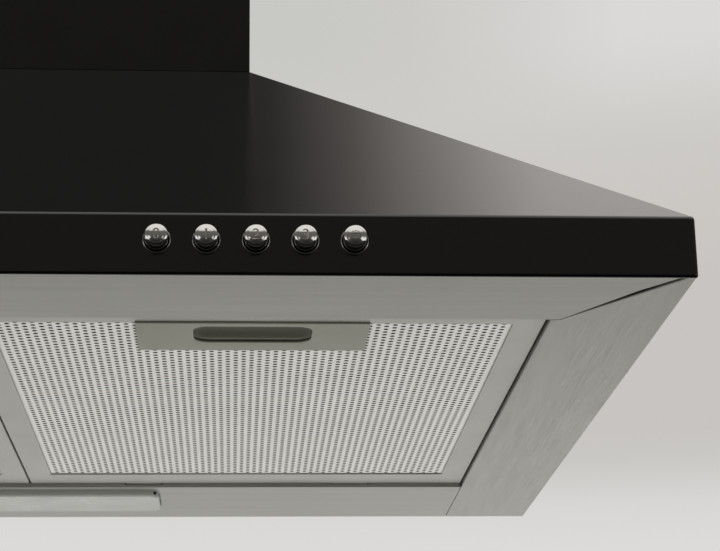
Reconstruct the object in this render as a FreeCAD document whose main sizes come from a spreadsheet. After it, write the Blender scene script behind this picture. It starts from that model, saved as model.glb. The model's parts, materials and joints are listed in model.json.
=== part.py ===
"""Wall chimney range hood, 600 mm wide, as separate pieces in millimetres.

Frame: X to the right, the front faces -Y, +Z up. The wall is the plane Y = 0, the lower edge
of the black canopy is the plane Z = 0 and the hood is centred on X = 0.
"""
import FreeCAD, Part
import math
import os
from types import SimpleNamespace

import Sketcher
from FreeCAD import Placement, Rotation, Vector

SIZES = {
    # canopy of black enamelled sheet
    "hood_width": 600.0,
    "hood_depth": 500.0,
    "fascia_height": 25.0,
    "canopy_height": 206.0,
    "canopy_sheet": 1.6,
    "corner_radius": 1.8,
    "rim_radius": 1.2,
    "flange_width": 14.0,
    "flange_sheet": 1.2,
    "top_flange_width": 15.0,
    "seat_gap": 0.2,
    # chimney covers
    "chimney_width": 250.0,
    "chimney_depth": 225.0,
    "chimney_sheet": 1.0,
    "lower_chimney_height": 420.0,
    "upper_chimney_height": 334.0,
    "upper_chimney_stand": 8.0,
    "chimney_slide_gap": 0.5,
    "chimney_return": 15.0,
    "vent_length": 60.0,
    "vent_height": 5.0,
    "vent_pitch": 12.0,
    "chimney_tab_width": 12.0,
    "chimney_tab_length": 40.0,
    # wall fixing
    "wall_hole_radius": 4.0,
    "wall_hole_spacing_wide": 240.0,
    "wall_hole_spacing_high": 100.0,
    "wall_hole_low_row": 70.0,
    "bracket_height": 30.0,
    "bracket_sheet": 1.5,
    "bracket_arm": 56.0,
    "bracket_hole_radius": 3.0,
    "bracket_hole_spacing": 160.0,
    "bracket_boss_radius": 8.0,
    # brushed steel trims of the underside
    "trim_recess": 1.0,
    "trim_sheet": 1.0,
    "trim_leg": 12.0,
    "front_trim_depth": 63.0,
    "side_trim_width": 49.0,
    "mitre_overrun": 3.6,
    "mitre_gap": 0.3,
    "mitre_mouth": 2.2,
    "mitre_slit": 3.6,
    "mitre_slit_share": 0.32,
    "lamp_panel_depth": 92.0,
    # grease filters
    "filter_gap": 1.0,
    "filter_edge_gap": 0.8,
    "filter_raise": 1.2,
    "filter_height": 9.2,
    "filter_rail": 13.5,
    "filter_front_rail": 14.0,
    "filter_rear_rail": 24.0,
    "filter_sheet": 0.8,
    "filter_inner_gap": 0.4,
    "grid_hole_radius": 4.0,
    "grid_margin": 12.0,
    "core_pitch": 12.0,
    "hinge_tab_width": 20.0,
    "hinge_tab_reach": 7.0,
    "hinge_tab_spread": 60.0,
    "hinge_slot_height": 6.0,
    "hinge_slot_play": 1.0,
    # filter latch
    "latch_plate_width": 100.0,
    "latch_plate_depth": 53.2,
    "latch_plate_sheet": 1.0,
    "latch_plate_inset": 10.8,
    "recess_length": 51.0,
    "recess_depth": 24.5,
    "recess_back": 40.2,
    "recess_corner": 7.0,
    "latch_case_width": 64.0,
    "latch_case_wall": 1.0,
    "latch_case_rear": 52.2,
    "latch_travel": 4.0,
    "latch_clearance": 0.3,
    "latch_slide_length": 26.3,
    "latch_cup_width": 52.0,
    "latch_cup_depth": 18.2,
    "latch_cup_roof": 1.4,
    "latch_lip": 7.2,
    "tongue_rise": 3.1,
    "tongue_width": 20.0,
    "tongue_sheet": 2.0,
    "tongue_play": 0.8,
    "latch_spring_radius": 2.5,
    "latch_spring_wire": 0.6,
    # lamp
    "lens_width": 147.0,
    "lens_depth": 46.0,
    "lens_back": 34.5,
    "lens_drop": 3.0,
    "lens_wall": 1.6,
    "lens_rim": 4.0,
    "lens_rim_sheet": 1.5,
    "lens_corner": 8.0,
    "lens_edge": 1.5,
    "lens_clearance": 0.3,
    "reflector_height": 38.0,
    "reflector_sheet": 0.8,
    "holder_radius": 14.0,
    "holder_length": 30.0,
    "bulb_cap_radius": 6.75,
    "bulb_cap_length": 22.0,
    "bulb_radius": 17.5,
    "bulb_length": 76.0,
    "bulb_clearance": 0.2,
    # push buttons
    "button_centre": 125.7,
    "button_pitch": 19.3,
    "button_level": 14.1,
    "button_radius": 4.6,
    "button_stand": 7.5,
    "button_length": 17.5,
    "button_edge": 1.6,
    "button_travel": 3.5,
    "button_clearance": 0.4,
    "bezel_width": 0.6,
    "bezel_stand": 0.6,
    "stem_radius": 2.5,
    "stem_length": 20.0,
    "stem_clearance": 0.1,
    "spring_wire": 0.5,
    "spring_coil_radius": 3.5,
    "housing_end": 9.0,
    "housing_depth": 36.0,
    "housing_height": 19.0,
    "spring_stack": 2.1,
    "stem_end_wall": 2.0,
    # blower
    "blower_offset": 13.5,
    "blower_level": 118.0,
    "scroll_radius": 85.0,
    "scroll_half_width": 62.0,
    "scroll_wall": 2.5,
    "inlet_radius": 52.0,
    "cut_off_height": 13.0,
    "cut_off_drop": 27.0,
    "cut_off_length": 32.0,
    "deck_sheet": 1.2,
    "impeller_radius": 62.0,
    "impeller_half_width": 44.0,
    "impeller_disc": 2.0,
    "blade_length": 9.0,
    "blade_sheet": 1.2,
    "hub_radius": 8.0,
    "hub_length": 18.0,
    "shaft_radius": 3.0,
    "shaft_clearance": 0.05,
    "motor_radius": 36.0,
    "motor_length": 52.0,
    "motor_nose_radius": 12.0,
    "motor_pad_radius": 28.8,
    "motor_bracket_sheet": 2.5,
    "motor_bracket_arm": 12.0,
    "motor_bracket_rim": 6.0,
    "capacitor_width": 22.0,
    "capacitor_length": 50.0,
    "capacitor_height": 28.0,
    # duct collar and flaps
    "collar_radius": 75.0,
    "collar_wall": 1.5,
    "collar_height": 57.0,
    "collar_flange": 5.0,
    "flap_level": 20.0,
    "flap_sheet": 1.2,
    "flap_gap": 1.0,
    "flap_root": 3.8,
    "flap_pin_radius": 1.5,
    "flap_pin_clearance": 0.08,
    "knuckle_radius": 3.2,
    "knuckle_length": 30.0,
    "knuckle_gap": 0.5,
    "ledge_width": 2.5,
    "ledge_height": 2.0,
    # mains terminal box and wiring
    "terminal_width": 70.0,
    "terminal_height": 50.0,
    "terminal_depth": 30.0,
    "terminal_wall": 2.0,
    "terminal_inset": 120.0,
    "terminal_level": 30.0,
    "gland_radius": 8.0,
    "gland_nut_radius": 6.4,
    "gland_bore_radius": 4.0,
    "gland_height": 16.0,
    "lead_radius": 3.0,
    "lead_rise": 0.3,
    "lead_gap": 6.0,
    "lead_inset": 9.0,
    "lead_end": 15.0,
    "lead_turn": 18.0,
    "lead_sweep": 24.0,
    "lead_reach": 36.0,
    "lead_corner": 60.0,
    # screws
    "screw_radius": 2.0,
    "screw_head_radius": 3.6,
    "screw_head_height": 1.6,
    "screw_length": 6.0,
}

VENT_COUNT = 5
GRID_COLUMNS = 14
GRID_ROWS = 18
BLADE_COUNT = 28
BRACKET_ARMS = 3
LATCH_SPRING_TURNS = 4
BUTTON_SPRING_TURNS = 4
WIRE_FLATS = 8
BEND_SHARE = 0.45  # how much of a lead's shorter run a bend may take up
PAST = 1.0  # how far a cut reaches past the sheet it opens
TOUCH = 0.1  # how near a plane an edge lies to count as on it
BUTTONS = ("fan_off_button", "fan_low_button", "fan_medium_button", "fan_high_button", "light_button")

doc = FreeCAD.newDocument("range_hood")
sheet = doc.addObject("Spreadsheet::Sheet", "sizes")
for row, (alias, value) in enumerate(SIZES.items(), start=1):
    sheet.set(f"A{row}", alias)
    sheet.set(f"B{row}", str(value))
    sheet.setAlias(f"B{row}", alias)
doc.recompute()


class Size:
    """A length that carries its number and the sheet formula that gives it."""

    def __init__(self, number, formula):
        self.number = number
        self.formula = formula

    @staticmethod
    def of(value):
        return value if isinstance(value, Size) else Size(float(value), repr(float(value)))

    def join(self, other, sign, number):
        return Size(number, f"({self.formula} {sign} {other.formula})")

    def __add__(self, other):
        other = Size.of(other)
        return self.join(other, "+", self.number + other.number)

    def __sub__(self, other):
        other = Size.of(other)
        return self.join(other, "-", self.number - other.number)

    def __mul__(self, other):
        other = Size.of(other)
        return self.join(other, "*", self.number * other.number)

    def __truediv__(self, other):
        other = Size.of(other)
        return self.join(other, "/", self.number / other.number)

    def __neg__(self):
        return self * -1

    __radd__ = __add__
    __rmul__ = __mul__


S = SimpleNamespace(**{alias: Size(float(sheet.get(alias)), f"sizes.{alias}") for alias in SIZES})
ZERO = Size.of(0)
FINISHED = []


# ---------------------------------------------------------------- building helpers
def bind(item, name, size):
    """Tie one property of an object to the sheet."""
    item.setExpression(name, Size.of(size).formula)


def put(item, x, y, z, rotation=None):
    """Place an object with each coordinate tied to the sheet."""
    if rotation is not None:
        item.Placement = Placement(Vector(), rotation)
    for name, size in (("x", x), ("y", y), ("z", z)):
        bind(item, f"Placement.Base.{name}", size)
    return item


def block(low, high):
    """A box between two corners."""
    item = doc.addObject("Part::Box", "block")
    for name, start, end in zip(("Length", "Width", "Height"), low, high):
        bind(item, name, Size.of(end) - Size.of(start))
    return put(item, *low)


TURNS = {
    "X": Rotation(Vector(0, 1, 0), 90),
    "Y": Rotation(Vector(1, 0, 0), -90),
    "Z": Rotation(),
}


def rod(start, axis, radius, length):
    """A cylinder from a start point along +X, +Y or +Z."""
    item = doc.addObject("Part::Cylinder", "rod")
    bind(item, "Radius", radius)
    bind(item, "Height", length)
    return put(item, *start, rotation=TURNS[axis])


def fuse(*items):
    item = doc.addObject("Part::MultiFuse", "joined")
    item.Shapes = list(items)
    item.Refine = True
    return item


def cut(base, *tools):
    item = doc.addObject("Part::Cut", "cut")
    item.Base = base
    item.Tool = tools[0] if len(tools) == 1 else fuse(*tools)
    return item


def group(*items):
    """Separate solids that share one node."""
    item = doc.addObject("Part::Compound", "group")
    item.Links = list(items)
    return item


def finish(item, node):
    """Name a finished piece after its node."""
    item.Label = node
    FINISHED.append(item)
    return item


def new_body(node):
    body = doc.addObject("PartDesign::Body", node)
    return finish(body, node)


def new_sketch(body, plane, offset):
    """An empty sketch on one of the body's own planes, moved along the plane's normal."""
    sketch = body.newObject("Sketcher::SketchObject", "outline")
    support = next(face for face in body.Origin.OriginFeatures if face.Role == plane)
    sketch.AttachmentSupport = [(support, "")]
    sketch.MapMode = "FlatFace"
    bind(sketch, "AttachmentOffset.Base.z", offset)
    return sketch


def pin(sketch, geometry, vertex, point):
    """Hold a sketch point at its distances from the sketch's origin."""
    for kind, size in zip(("DistanceX", "DistanceY"), point):
        size = Size.of(size)
        index = sketch.addConstraint(Sketcher.Constraint(kind, -1, 1, geometry, vertex, size.number))
        bind(sketch, f"Constraints[{index}]", size)


def polygon(sketch, points):
    """A closed outline of straight lines."""
    first = sketch.GeometryCount
    count = len(points)
    corners = [Vector(Size.of(x).number, Size.of(y).number, 0) for x, y in points]
    for index, corner in enumerate(corners):
        sketch.addGeometry(Part.LineSegment(corner, corners[(index + 1) % count]))
    for index, point in enumerate(points):
        following = first + (index + 1) % count
        sketch.addConstraint(Sketcher.Constraint("Coincident", first + index, 2, following, 1))
        pin(sketch, first + index, 1, point)


def circle(sketch, centre, radius):
    centre_point = Vector(Size.of(centre[0]).number, Size.of(centre[1]).number, 0)
    index = sketch.addGeometry(Part.Circle(centre_point, Vector(0, 0, 1), radius.number))
    pin(sketch, index, 3, centre)
    limit = sketch.addConstraint(Sketcher.Constraint("Radius", index, radius.number))
    bind(sketch, f"Constraints[{limit}]", radius)


def rectangle(low, high):
    return [low, (high[0], low[1]), high, (low[0], high[1])]


def feature(body, kind, sketch, length, reverse=False):
    """A Pad or Pocket of a sketch."""
    item = body.newObject(f"PartDesign::{kind}", kind.lower())
    item.Profile = sketch
    bind(item, "Length", length)
    item.Reversed = reverse
    return item


def layer(body, kind, plane, offset, length, outline, holes=(), reverse=False):
    """A Pad or Pocket of a straight-sided outline with round holes."""
    sketch = new_sketch(body, plane, offset)
    if outline:
        polygon(sketch, outline)
    for centre, radius in holes:
        circle(sketch, centre, radius)
    return feature(body, kind, sketch, length, reverse)


def round_edges(body, radius, wanted):
    """Round the edges of the body's last feature that the test picks."""
    doc.recompute()
    base = body.Tip
    names = [f"Edge{index}" for index, edge in enumerate(base.Shape.Edges, 1) if wanted(edge)]
    item = body.newObject("PartDesign::Fillet", "rounding")
    item.Base = (base, names)
    bind(item, "Radius", radius)


def shape_piece(node, shape):
    """A piece whose shape is computed from the sheet's values."""
    item = doc.addObject("Part::Feature", node)
    item.Shape = shape
    return finish(item, node)


def pipe(points, radius):
    """A round lead along straight runs joined by tangent arcs."""
    edges = []
    start = points[0]
    for before, corner, after in zip(points, points[1:], points[2:]):
        inward = (before - corner).normalize()
        outward = (after - corner).normalize()
        half_turn = (math.pi - inward.getAngle(outward)) / 2
        shorter = min((before - corner).Length, (after - corner).Length)
        reach = BEND_SHARE * shorter
        bend = reach / math.tan(half_turn)
        enter = corner + inward * reach
        leave = corner + outward * reach
        middle_way = (inward + outward).normalize()
        middle = corner + middle_way * (bend / math.cos(half_turn) - bend)
        edges.append(Part.LineSegment(start, enter).toShape())
        edges.append(Part.Arc(enter, middle, leave).toShape())
        start = leave
    edges.append(Part.LineSegment(start, points[-1]).toShape())
    path = Part.Wire(edges)
    section = Part.Wire(Part.makeCircle(radius, points[0], points[1] - points[0]))
    return path.makePipeShell([section], True, False)


def coil(centre, axis, radius, wire, length, turns):
    """A helical spring standing on its centre point along a direction, its fine wire drawn with flats."""
    height = length - wire
    helix = Part.makeLongHelix(height / turns, height, radius)
    across = Vector(1, 0, 0)
    along = Vector(0, 2 * math.pi * radius, height / turns).normalize()
    upward = along.cross(across)
    corners = []
    for index in range(WIRE_FLATS + 1):
        turn = 2 * math.pi * index / WIRE_FLATS
        corners.append(across * (radius + wire / 2 * math.cos(turn)) + upward * (wire / 2 * math.sin(turn)))
    spring = Part.Wire(helix.Edges).makePipeShell([Part.makePolygon(corners)], True, True)
    spring.translate(Vector(0, 0, wire / 2))
    spring.Placement = Placement(centre, Rotation(Vector(0, 0, 1), axis)).multiply(spring.Placement)
    return spring


def screw(point, axis, length=None, head_at_start=True):
    """A pan-head screw along +X, +Y or +Z with its head before the start point."""
    length = S.screw_length if length is None else length
    step = {"X": (1, 0, 0), "Y": (0, 1, 0), "Z": (0, 0, 1)}[axis]
    if head_at_start:
        head_start = [c - S.screw_head_height * s for c, s in zip(point, step)]
        shank_start = point
    else:
        head_start = point
        shank_start = [c - length * s for c, s in zip(point, step)]
    head = rod(head_start, axis, S.screw_head_radius, S.screw_head_height)
    shank = rod(shank_start, axis, S.screw_radius, length)
    return fuse(head, shank)


# ---------------------------------------------------------------- shared places
half_width = S.hood_width / 2
inner_half = half_width - S.canopy_sheet
front = -S.hood_depth
inner_front = front + S.canopy_sheet
chimney_half = S.chimney_width / 2
back_face = -S.flange_sheet
trim_low = S.trim_recess
trim_top = S.trim_recess + S.trim_sheet
leg_top = trim_top + S.trim_leg
trim_back = back_face - S.seat_gap
trim_outer = inner_half - S.seat_gap
trim_front = inner_front + S.seat_gap
front_trim_edge = front + S.front_trim_depth
side_trim_edge = half_width - S.side_trim_width
lamp_panel_edge = -S.lamp_panel_depth
flange_top = trim_top + S.flange_sheet
deck_top = S.canopy_height - S.flange_sheet
deck_low = deck_top - S.deck_sheet
collar_base = deck_top


# ---------------------------------------------------------------- canopy and back
def make_canopy():
    """Fascia band, pyramid, inward flanges for the trims and for the chimney."""
    body = new_body("canopy_shell")
    layer(body, "Pad", "XY_Plane", ZERO, S.fascia_height, rectangle((-half_width, front), (half_width, ZERO)))
    loft(body, "AdditiveLoft", half_width, front, chimney_half, -S.chimney_depth, ZERO)
    top = S.canopy_height.number
    round_edges(body, S.corner_radius, lambda edge: is_outer_fold(edge, top))
    round_edges(body, S.rim_radius, is_lower_rim)
    inner_back = S.canopy_sheet
    layer(body, "Pocket", "XY_Plane", ZERO, S.fascia_height,
          rectangle((-inner_half, inner_front), (inner_half, inner_back)), reverse=True)
    loft(body, "SubtractiveLoft", inner_half, inner_front,
         chimney_half - S.canopy_sheet, S.canopy_sheet - S.chimney_depth, inner_back)
    return body


def loft(body, kind, low_half, low_front, high_half, high_front, back):
    """The pyramid between the fascia's upper edge and the chimney."""
    low = new_sketch(body, "XY_Plane", S.fascia_height)
    polygon(low, rectangle((-low_half, low_front), (low_half, back)))
    high = new_sketch(body, "XY_Plane", S.canopy_height)
    polygon(high, rectangle((-high_half, high_front), (high_half, back)))
    item = body.newObject(f"PartDesign::{kind}", "pyramid")
    item.Profile = low
    item.Sections = [high]
    item.Ruled = True
    return item


def is_outer_fold(edge, top):
    """True for the folds of the sheet: the upright corners, the hips and the fascia's upper edge."""
    box = edge.BoundBox
    on_wall = box.YMin > -TOUCH
    flat_rim = box.ZLength < TOUCH and (box.ZMax < TOUCH or box.ZMin > top - TOUCH)
    return not on_wall and not flat_rim


def is_lower_rim(edge):
    """True for the lower rim of the fascia's front and sides."""
    box = edge.BoundBox
    return box.ZMax < TOUCH and box.YMin < -TOUCH


def make_canopy_flanges(canopy):
    """Inward flanges folded from the same sheet, and side walls that end on the side strips."""
    inset = S.flange_width
    trim_flange = cut(
        block((-inner_half, inner_front, trim_top), (inner_half, trim_back, flange_top)),
        block((inset - inner_half, inner_front + inset, ZERO),
              (inner_half - inset, S.seat_gap, S.fascia_height)),
    )
    opening_half = chimney_half - S.canopy_sheet - S.top_flange_width
    opening_front = S.canopy_sheet + S.top_flange_width - S.chimney_depth
    into_wall = S.canopy_sheet / 2
    top_flange = cut(
        block((into_wall - chimney_half, into_wall - S.chimney_depth, deck_top),
              (chimney_half - into_wall, trim_back, S.canopy_height)),
        block((-opening_half, opening_front, deck_low),
              (opening_half, -S.top_flange_width, S.canopy_height + PAST)),
    )
    through = S.canopy_height + PAST - deck_low
    holes = []
    for x in button_places():
        start = (x, front - PAST, S.button_level)
        holes.append(rod(start, "Y", S.button_radius + S.button_clearance, S.canopy_sheet + 2 * PAST))
    for x, y in deck_screw_places():
        holes.append(rod((x, y, deck_low), "Z", S.screw_radius, through))
    for x in chimney_screw_places():
        holes.append(rod((x, -S.chimney_depth / 2, deck_low), "Z", S.screw_radius, through))
    for near, far in ((-half_width - PAST, -inner_half), (inner_half, half_width + PAST)):
        holes.append(block((near, inner_front, ZERO - PAST), (far, ZERO + PAST, trim_top)))
    FINISHED.remove(canopy)
    canopy.Label = "canopy_folded_sheet"
    finish(cut(fuse(canopy, trim_flange, top_flange), *holes), "canopy_shell")


def button_places():
    return [S.button_centre + S.button_pitch * (index - 2) for index in range(len(BUTTONS))]


def deck_screw_places():
    side = chimney_half - S.canopy_sheet - S.top_flange_width / 2
    front_row = S.canopy_sheet + S.top_flange_width / 2 - S.chimney_depth
    back_row = trim_back - S.top_flange_width / 2
    return [(side * sign, y) for sign in (-1, 1) for y in (front_row, back_row)]


def chimney_screw_places():
    side = chimney_half - S.chimney_sheet - S.chimney_tab_width / 2
    return [-side, side]


def make_back_plate():
    """Galvanised plate that closes the canopy's back and carries the wall holes."""
    body = new_body("back_plate")
    low_half = inner_half - S.seat_gap
    high_half = chimney_half - S.canopy_sheet - S.seat_gap
    low = trim_top + S.seat_gap
    high = deck_low - S.seat_gap
    slope = (low_half - high_half) / (S.canopy_height - S.fascia_height)
    top_half = low_half - slope * (high - S.fascia_height)
    outline = [(-low_half, low), (low_half, low), (low_half, S.fascia_height), (top_half, high),
               (-top_half, high), (-low_half, S.fascia_height)]
    across = S.wall_hole_spacing_wide / 2
    rows = (S.wall_hole_low_row, S.wall_hole_low_row + S.wall_hole_spacing_high)
    holes = [((across * sign, z), S.wall_hole_radius) for sign in (-1, 1) for z in rows]
    layer(body, "Pad", "XZ_Plane", ZERO, S.flange_sheet, outline, holes)


# ---------------------------------------------------------------- underside trims
def make_front_trim():
    """Front strip with an upright leg that the filters latch into.

    Its mitred ends stand off the side strips in long thin slits.
    """
    body = new_body("front_trim")
    inner_end = side_trim_edge + S.mitre_overrun
    outer_end = trim_outer - S.mitre_mouth
    share = S.mitre_slit_share
    kink_x = trim_outer - (trim_outer - inner_end) * share - S.mitre_slit
    kink_y = trim_front + (front_trim_edge - trim_front) * share
    outline = [(-outer_end, trim_front), (outer_end, trim_front), (kink_x, kink_y),
               (inner_end, front_trim_edge), (-inner_end, front_trim_edge), (-kink_x, kink_y)]
    layer(body, "Pad", "XY_Plane", trim_low, S.trim_sheet, outline)
    leg = rectangle((-side_trim_edge, front_trim_edge - S.trim_sheet), (side_trim_edge, front_trim_edge))
    layer(body, "Pad", "XY_Plane", trim_low, S.trim_sheet + S.trim_leg, leg)
    through = S.trim_sheet + 2 * PAST
    for sign in (-1, 1):
        centre = filter_centre * sign
        window = rectangle((centre - tongue_window_half, tongue_window_low),
                           (centre + tongue_window_half, tongue_window_high))
        layer(body, "Pocket", "XZ_Plane", -front_trim_edge - PAST, through, window, reverse=True)


def make_side_trim(node, sign):
    """Side strip with a straight mitre and an upright leg beside the filter."""
    body = new_body(node)
    inner_end = side_trim_edge + S.mitre_overrun
    side_outer = half_width - S.seat_gap
    outline = [
        (side_outer, trim_front + S.mitre_gap),
        (trim_outer, trim_front + S.mitre_gap),
        (inner_end, front_trim_edge + S.mitre_gap),
        (side_trim_edge, front_trim_edge + S.mitre_gap),
        (side_trim_edge, trim_back),
        (side_outer, trim_back),
    ]
    layer(body, "Pad", "XY_Plane", trim_low, S.trim_sheet, [(x * sign, y) for x, y in outline])
    near = side_trim_edge * sign
    far = (side_trim_edge + S.trim_sheet) * sign
    leg = rectangle((near, front_trim_edge + S.mitre_gap), (far, lamp_panel_edge - S.mitre_gap))
    layer(body, "Pad", "XY_Plane", trim_low, S.trim_sheet + S.trim_leg, leg)


def make_lamp_panel():
    """Rear panel with the lamp opening and the slots that carry the filters' tabs."""
    body = new_body("lamp_panel")
    side = side_trim_edge - S.mitre_gap
    panel = rectangle((-side, lamp_panel_edge), (side, trim_back))
    layer(body, "Pad", "XY_Plane", trim_low, S.trim_sheet, panel)
    leg = rectangle((-side, lamp_panel_edge), (side, lamp_panel_edge + S.trim_sheet))
    layer(body, "Pad", "XY_Plane", trim_low, S.trim_sheet + S.trim_leg, leg)
    opening_half = S.lens_width / 2 + S.lens_clearance
    opening = rectangle((-opening_half, lens_front - S.lens_clearance),
                        (opening_half, lens_rear + S.lens_clearance))
    through = S.trim_sheet + 2 * PAST
    layer(body, "Pocket", "XY_Plane", trim_low - PAST, through, opening, reverse=True)
    doc.recompute()
    behind_leg = -lamp_panel_edge - S.trim_sheet - PAST
    for sign in (-1, 1):
        for tab in hinge_tab_places(sign):
            half = S.hinge_tab_width / 2 + S.hinge_slot_play
            low = filter_low - S.filter_sheet / 2
            slot = rectangle((tab - half, low), (tab + half, low + S.hinge_slot_height))
            layer(body, "Pocket", "XZ_Plane", behind_leg, through, slot, reverse=True)
    round_edges(body, S.lens_corner, is_lens_corner)


def is_lens_corner(edge):
    """True for the four upright edges of the lamp opening, which lies behind the panel's leg."""
    box = edge.BoundBox
    upright = box.XLength < TOUCH and box.YLength < TOUCH
    side = abs(abs(box.XMin) - S.lens_width.number / 2 - S.lens_clearance.number) < TOUCH
    return upright and side and box.YMin > (lamp_panel_edge + S.trim_sheet).number + TOUCH


# ---------------------------------------------------------------- grease filters
filter_near = S.filter_gap / 2
filter_far = side_trim_edge - S.filter_edge_gap
filter_centre = (filter_near + filter_far) / 2
filter_front = front_trim_edge + S.filter_edge_gap
filter_back = lamp_panel_edge - S.filter_edge_gap
filter_low = trim_top + S.filter_raise
filter_high = filter_low + S.filter_height
channel_low = filter_low + S.filter_sheet
channel_high = filter_high - S.filter_sheet
grid_low_top = channel_low + S.filter_sheet
grid_high_low = channel_high - S.filter_sheet
tongue_low = filter_low + S.tongue_rise
tongue_high = tongue_low + S.tongue_sheet
tongue_window_low = tongue_low - S.tongue_play
tongue_window_high = tongue_high + S.tongue_play
tongue_window_half = S.tongue_width / 2 + S.tongue_play
case_half = S.latch_case_width / 2
case_front = filter_front + S.filter_front_rail + S.latch_clearance
case_rear = filter_front + S.latch_case_rear
case_high = grid_high_low - S.latch_clearance
plate_low = filter_low - S.latch_plate_sheet
recess_middle = filter_front + S.recess_back - S.recess_depth / 2


def hinge_tab_places(sign):
    """Middles of a filter's two rear tabs."""
    return [(filter_centre + S.hinge_tab_spread * step) * sign for step in (-1, 1)]


def span(sign, centre, half):
    """Lower and upper X of a width about a filter's centre, on either side."""
    return centre * sign - half, centre * sign + half


def make_filter_frame(node, sign):
    """Folded channel round the filter, with rear tabs and a window for the latch tongue."""
    half = (filter_far - filter_near) / 2
    left, right = span(sign, filter_centre, half)
    outer = block((left, filter_front, filter_low), (right, filter_back, filter_high))
    rail = S.filter_rail
    opening = block((left + rail, filter_front + S.filter_front_rail, filter_low - PAST),
                    (right - rail, filter_back - S.filter_rear_rail, filter_high + PAST))
    wall = S.filter_sheet
    channel = block((left + wall, filter_front + wall, channel_low),
                    (right - wall, filter_back - wall, channel_high))
    centre = filter_centre * sign
    window = block((centre - tongue_window_half, filter_front - PAST, tongue_window_low),
                   (centre + tongue_window_half, filter_front + wall * 2, tongue_window_high))
    ring = cut(outer, opening, channel, window)
    tabs = []
    for tab in hinge_tab_places(sign):
        half_tab = S.hinge_tab_width / 2
        tabs.append(block((tab - half_tab, filter_back - wall, filter_low),
                          (tab + half_tab, filter_back + S.hinge_tab_reach, channel_low)))
    finish(fuse(ring, *tabs), node)


def latch_notch(sign):
    """Half width and rear edge of the cut-out round the latch case."""
    half = case_half + S.filter_inner_gap
    left, right = span(sign, filter_centre, half)
    return left, right, case_rear + S.filter_inner_gap


def make_grid(node, sign, low, notched):
    """Perforated sheet: round holes in even rows, clear of the latch."""
    margin = (S.filter_sheet + S.filter_inner_gap).number
    half = (filter_far - filter_near).number / 2
    centre = filter_centre.number * sign
    left = centre - half + margin
    right = centre + half - margin
    fore = filter_front.number + margin
    aft = filter_back.number - margin
    corners = [(left, fore), (right, fore), (right, aft), (left, aft)]
    notch_left, notch_right, notch_back = [size.number for size in latch_notch(sign)]
    if notched:
        corners[1:1] = [(notch_left, fore), (notch_left, notch_back),
                        (notch_right, notch_back), (notch_right, fore)]
    level = low.number
    outline = Part.makePolygon([Vector(x, y, level) for x, y in corners + corners[:1]])
    radius = S.grid_hole_radius.number
    inset = (S.filter_rail + S.grid_margin).number
    row_start = fore + (S.filter_front_rail + S.grid_margin).number
    row_end = aft - (S.filter_rear_rail + S.grid_margin).number
    holes = []
    for column in range(GRID_COLUMNS):
        for row in range(GRID_ROWS):
            x = left + inset + (right - left - 2 * inset) * column / (GRID_COLUMNS - 1)
            y = row_start + (row_end - row_start) * row / (GRID_ROWS - 1)
            covered = notch_left - 2 * radius < x < notch_right + 2 * radius and y < notch_back + 2 * radius
            if not (notched and covered):
                holes.append(Part.Wire(Part.makeCircle(radius, Vector(x, y, level))))
    face = Part.makeFace([outline] + holes, "Part::FaceMakerBullseye")
    shape_piece(node, face.extrude(Vector(0, 0, S.filter_sheet.number)))


def make_filter_core(node, sign):
    """Corrugated mesh layer that fills the height between the two perforated sheets."""
    margin = (S.filter_sheet + S.filter_inner_gap).number
    half = (filter_far - filter_near).number / 2 - margin
    left = filter_centre.number * sign - half
    fore = filter_front.number + margin
    aft = filter_back.number - margin
    low = grid_low_top.number
    high = grid_high_low.number - S.filter_sheet.number
    folds = 2 * round((aft - fore) / S.core_pitch.number)
    wave = [(fore + (aft - fore) * step / folds, high if step % 2 else low) for step in range(folds + 1)]
    raised = [(y, z + S.filter_sheet.number) for y, z in reversed(wave)]
    corners = [Vector(left, y, z) for y, z in wave + raised + wave[:1]]
    layer_shape = Part.Face(Part.makePolygon(corners)).extrude(Vector(2 * half, 0, 0))
    notch_left, notch_right, notch_back = [size.number for size in latch_notch(sign)]
    notch = Part.makeBox(notch_right - notch_left, notch_back - fore + PAST, filter_high.number,
                         Vector(notch_left, fore - PAST, 0))
    shape_piece(node, layer_shape.cut(notch))


def make_latch_plate(node, sign):
    """Plate with the finger opening, and the case behind it that guides the slide."""
    left, right = span(sign, filter_centre, S.latch_plate_width / 2)
    plate = block((left, filter_front + S.latch_plate_inset, plate_low),
                  (right, filter_front + S.latch_plate_depth, filter_low))
    radius = S.recess_corner
    half = S.recess_length / 2
    half_deep = S.recess_depth / 2
    centre = filter_centre * sign
    thick = S.latch_plate_sheet + 2 * PAST
    low = plate_low - PAST
    high = filter_low + PAST
    opening = [
        block((centre - half + radius, recess_middle - half_deep, low),
              (centre + half - radius, recess_middle + half_deep, high)),
        block((centre - half, recess_middle - half_deep + radius, low),
              (centre + half, recess_middle + half_deep - radius, high)),
    ]
    for x in (centre - half + radius, centre + half - radius):
        for y in (recess_middle - half_deep + radius, recess_middle + half_deep - radius):
            opening.append(rod((x, y, low), "Z", radius, thick))
    wall = S.latch_case_wall
    case_left, case_right = span(sign, filter_centre, case_half)
    case = cut(
        block((case_left, case_front, filter_low), (case_right, case_rear, case_high)),
        block((case_left + wall, case_front - PAST, filter_low - PAST),
              (case_right - wall, case_rear - wall, case_high + PAST)),
    )
    finish(fuse(cut(plate, *opening), case), node)


slide_rear = case_rear - S.latch_case_wall - S.latch_travel - S.latch_spring_radius
slide_front = slide_rear - S.latch_slide_length
slide_low = filter_low + S.latch_clearance
slide_high = case_high - S.latch_clearance


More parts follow.
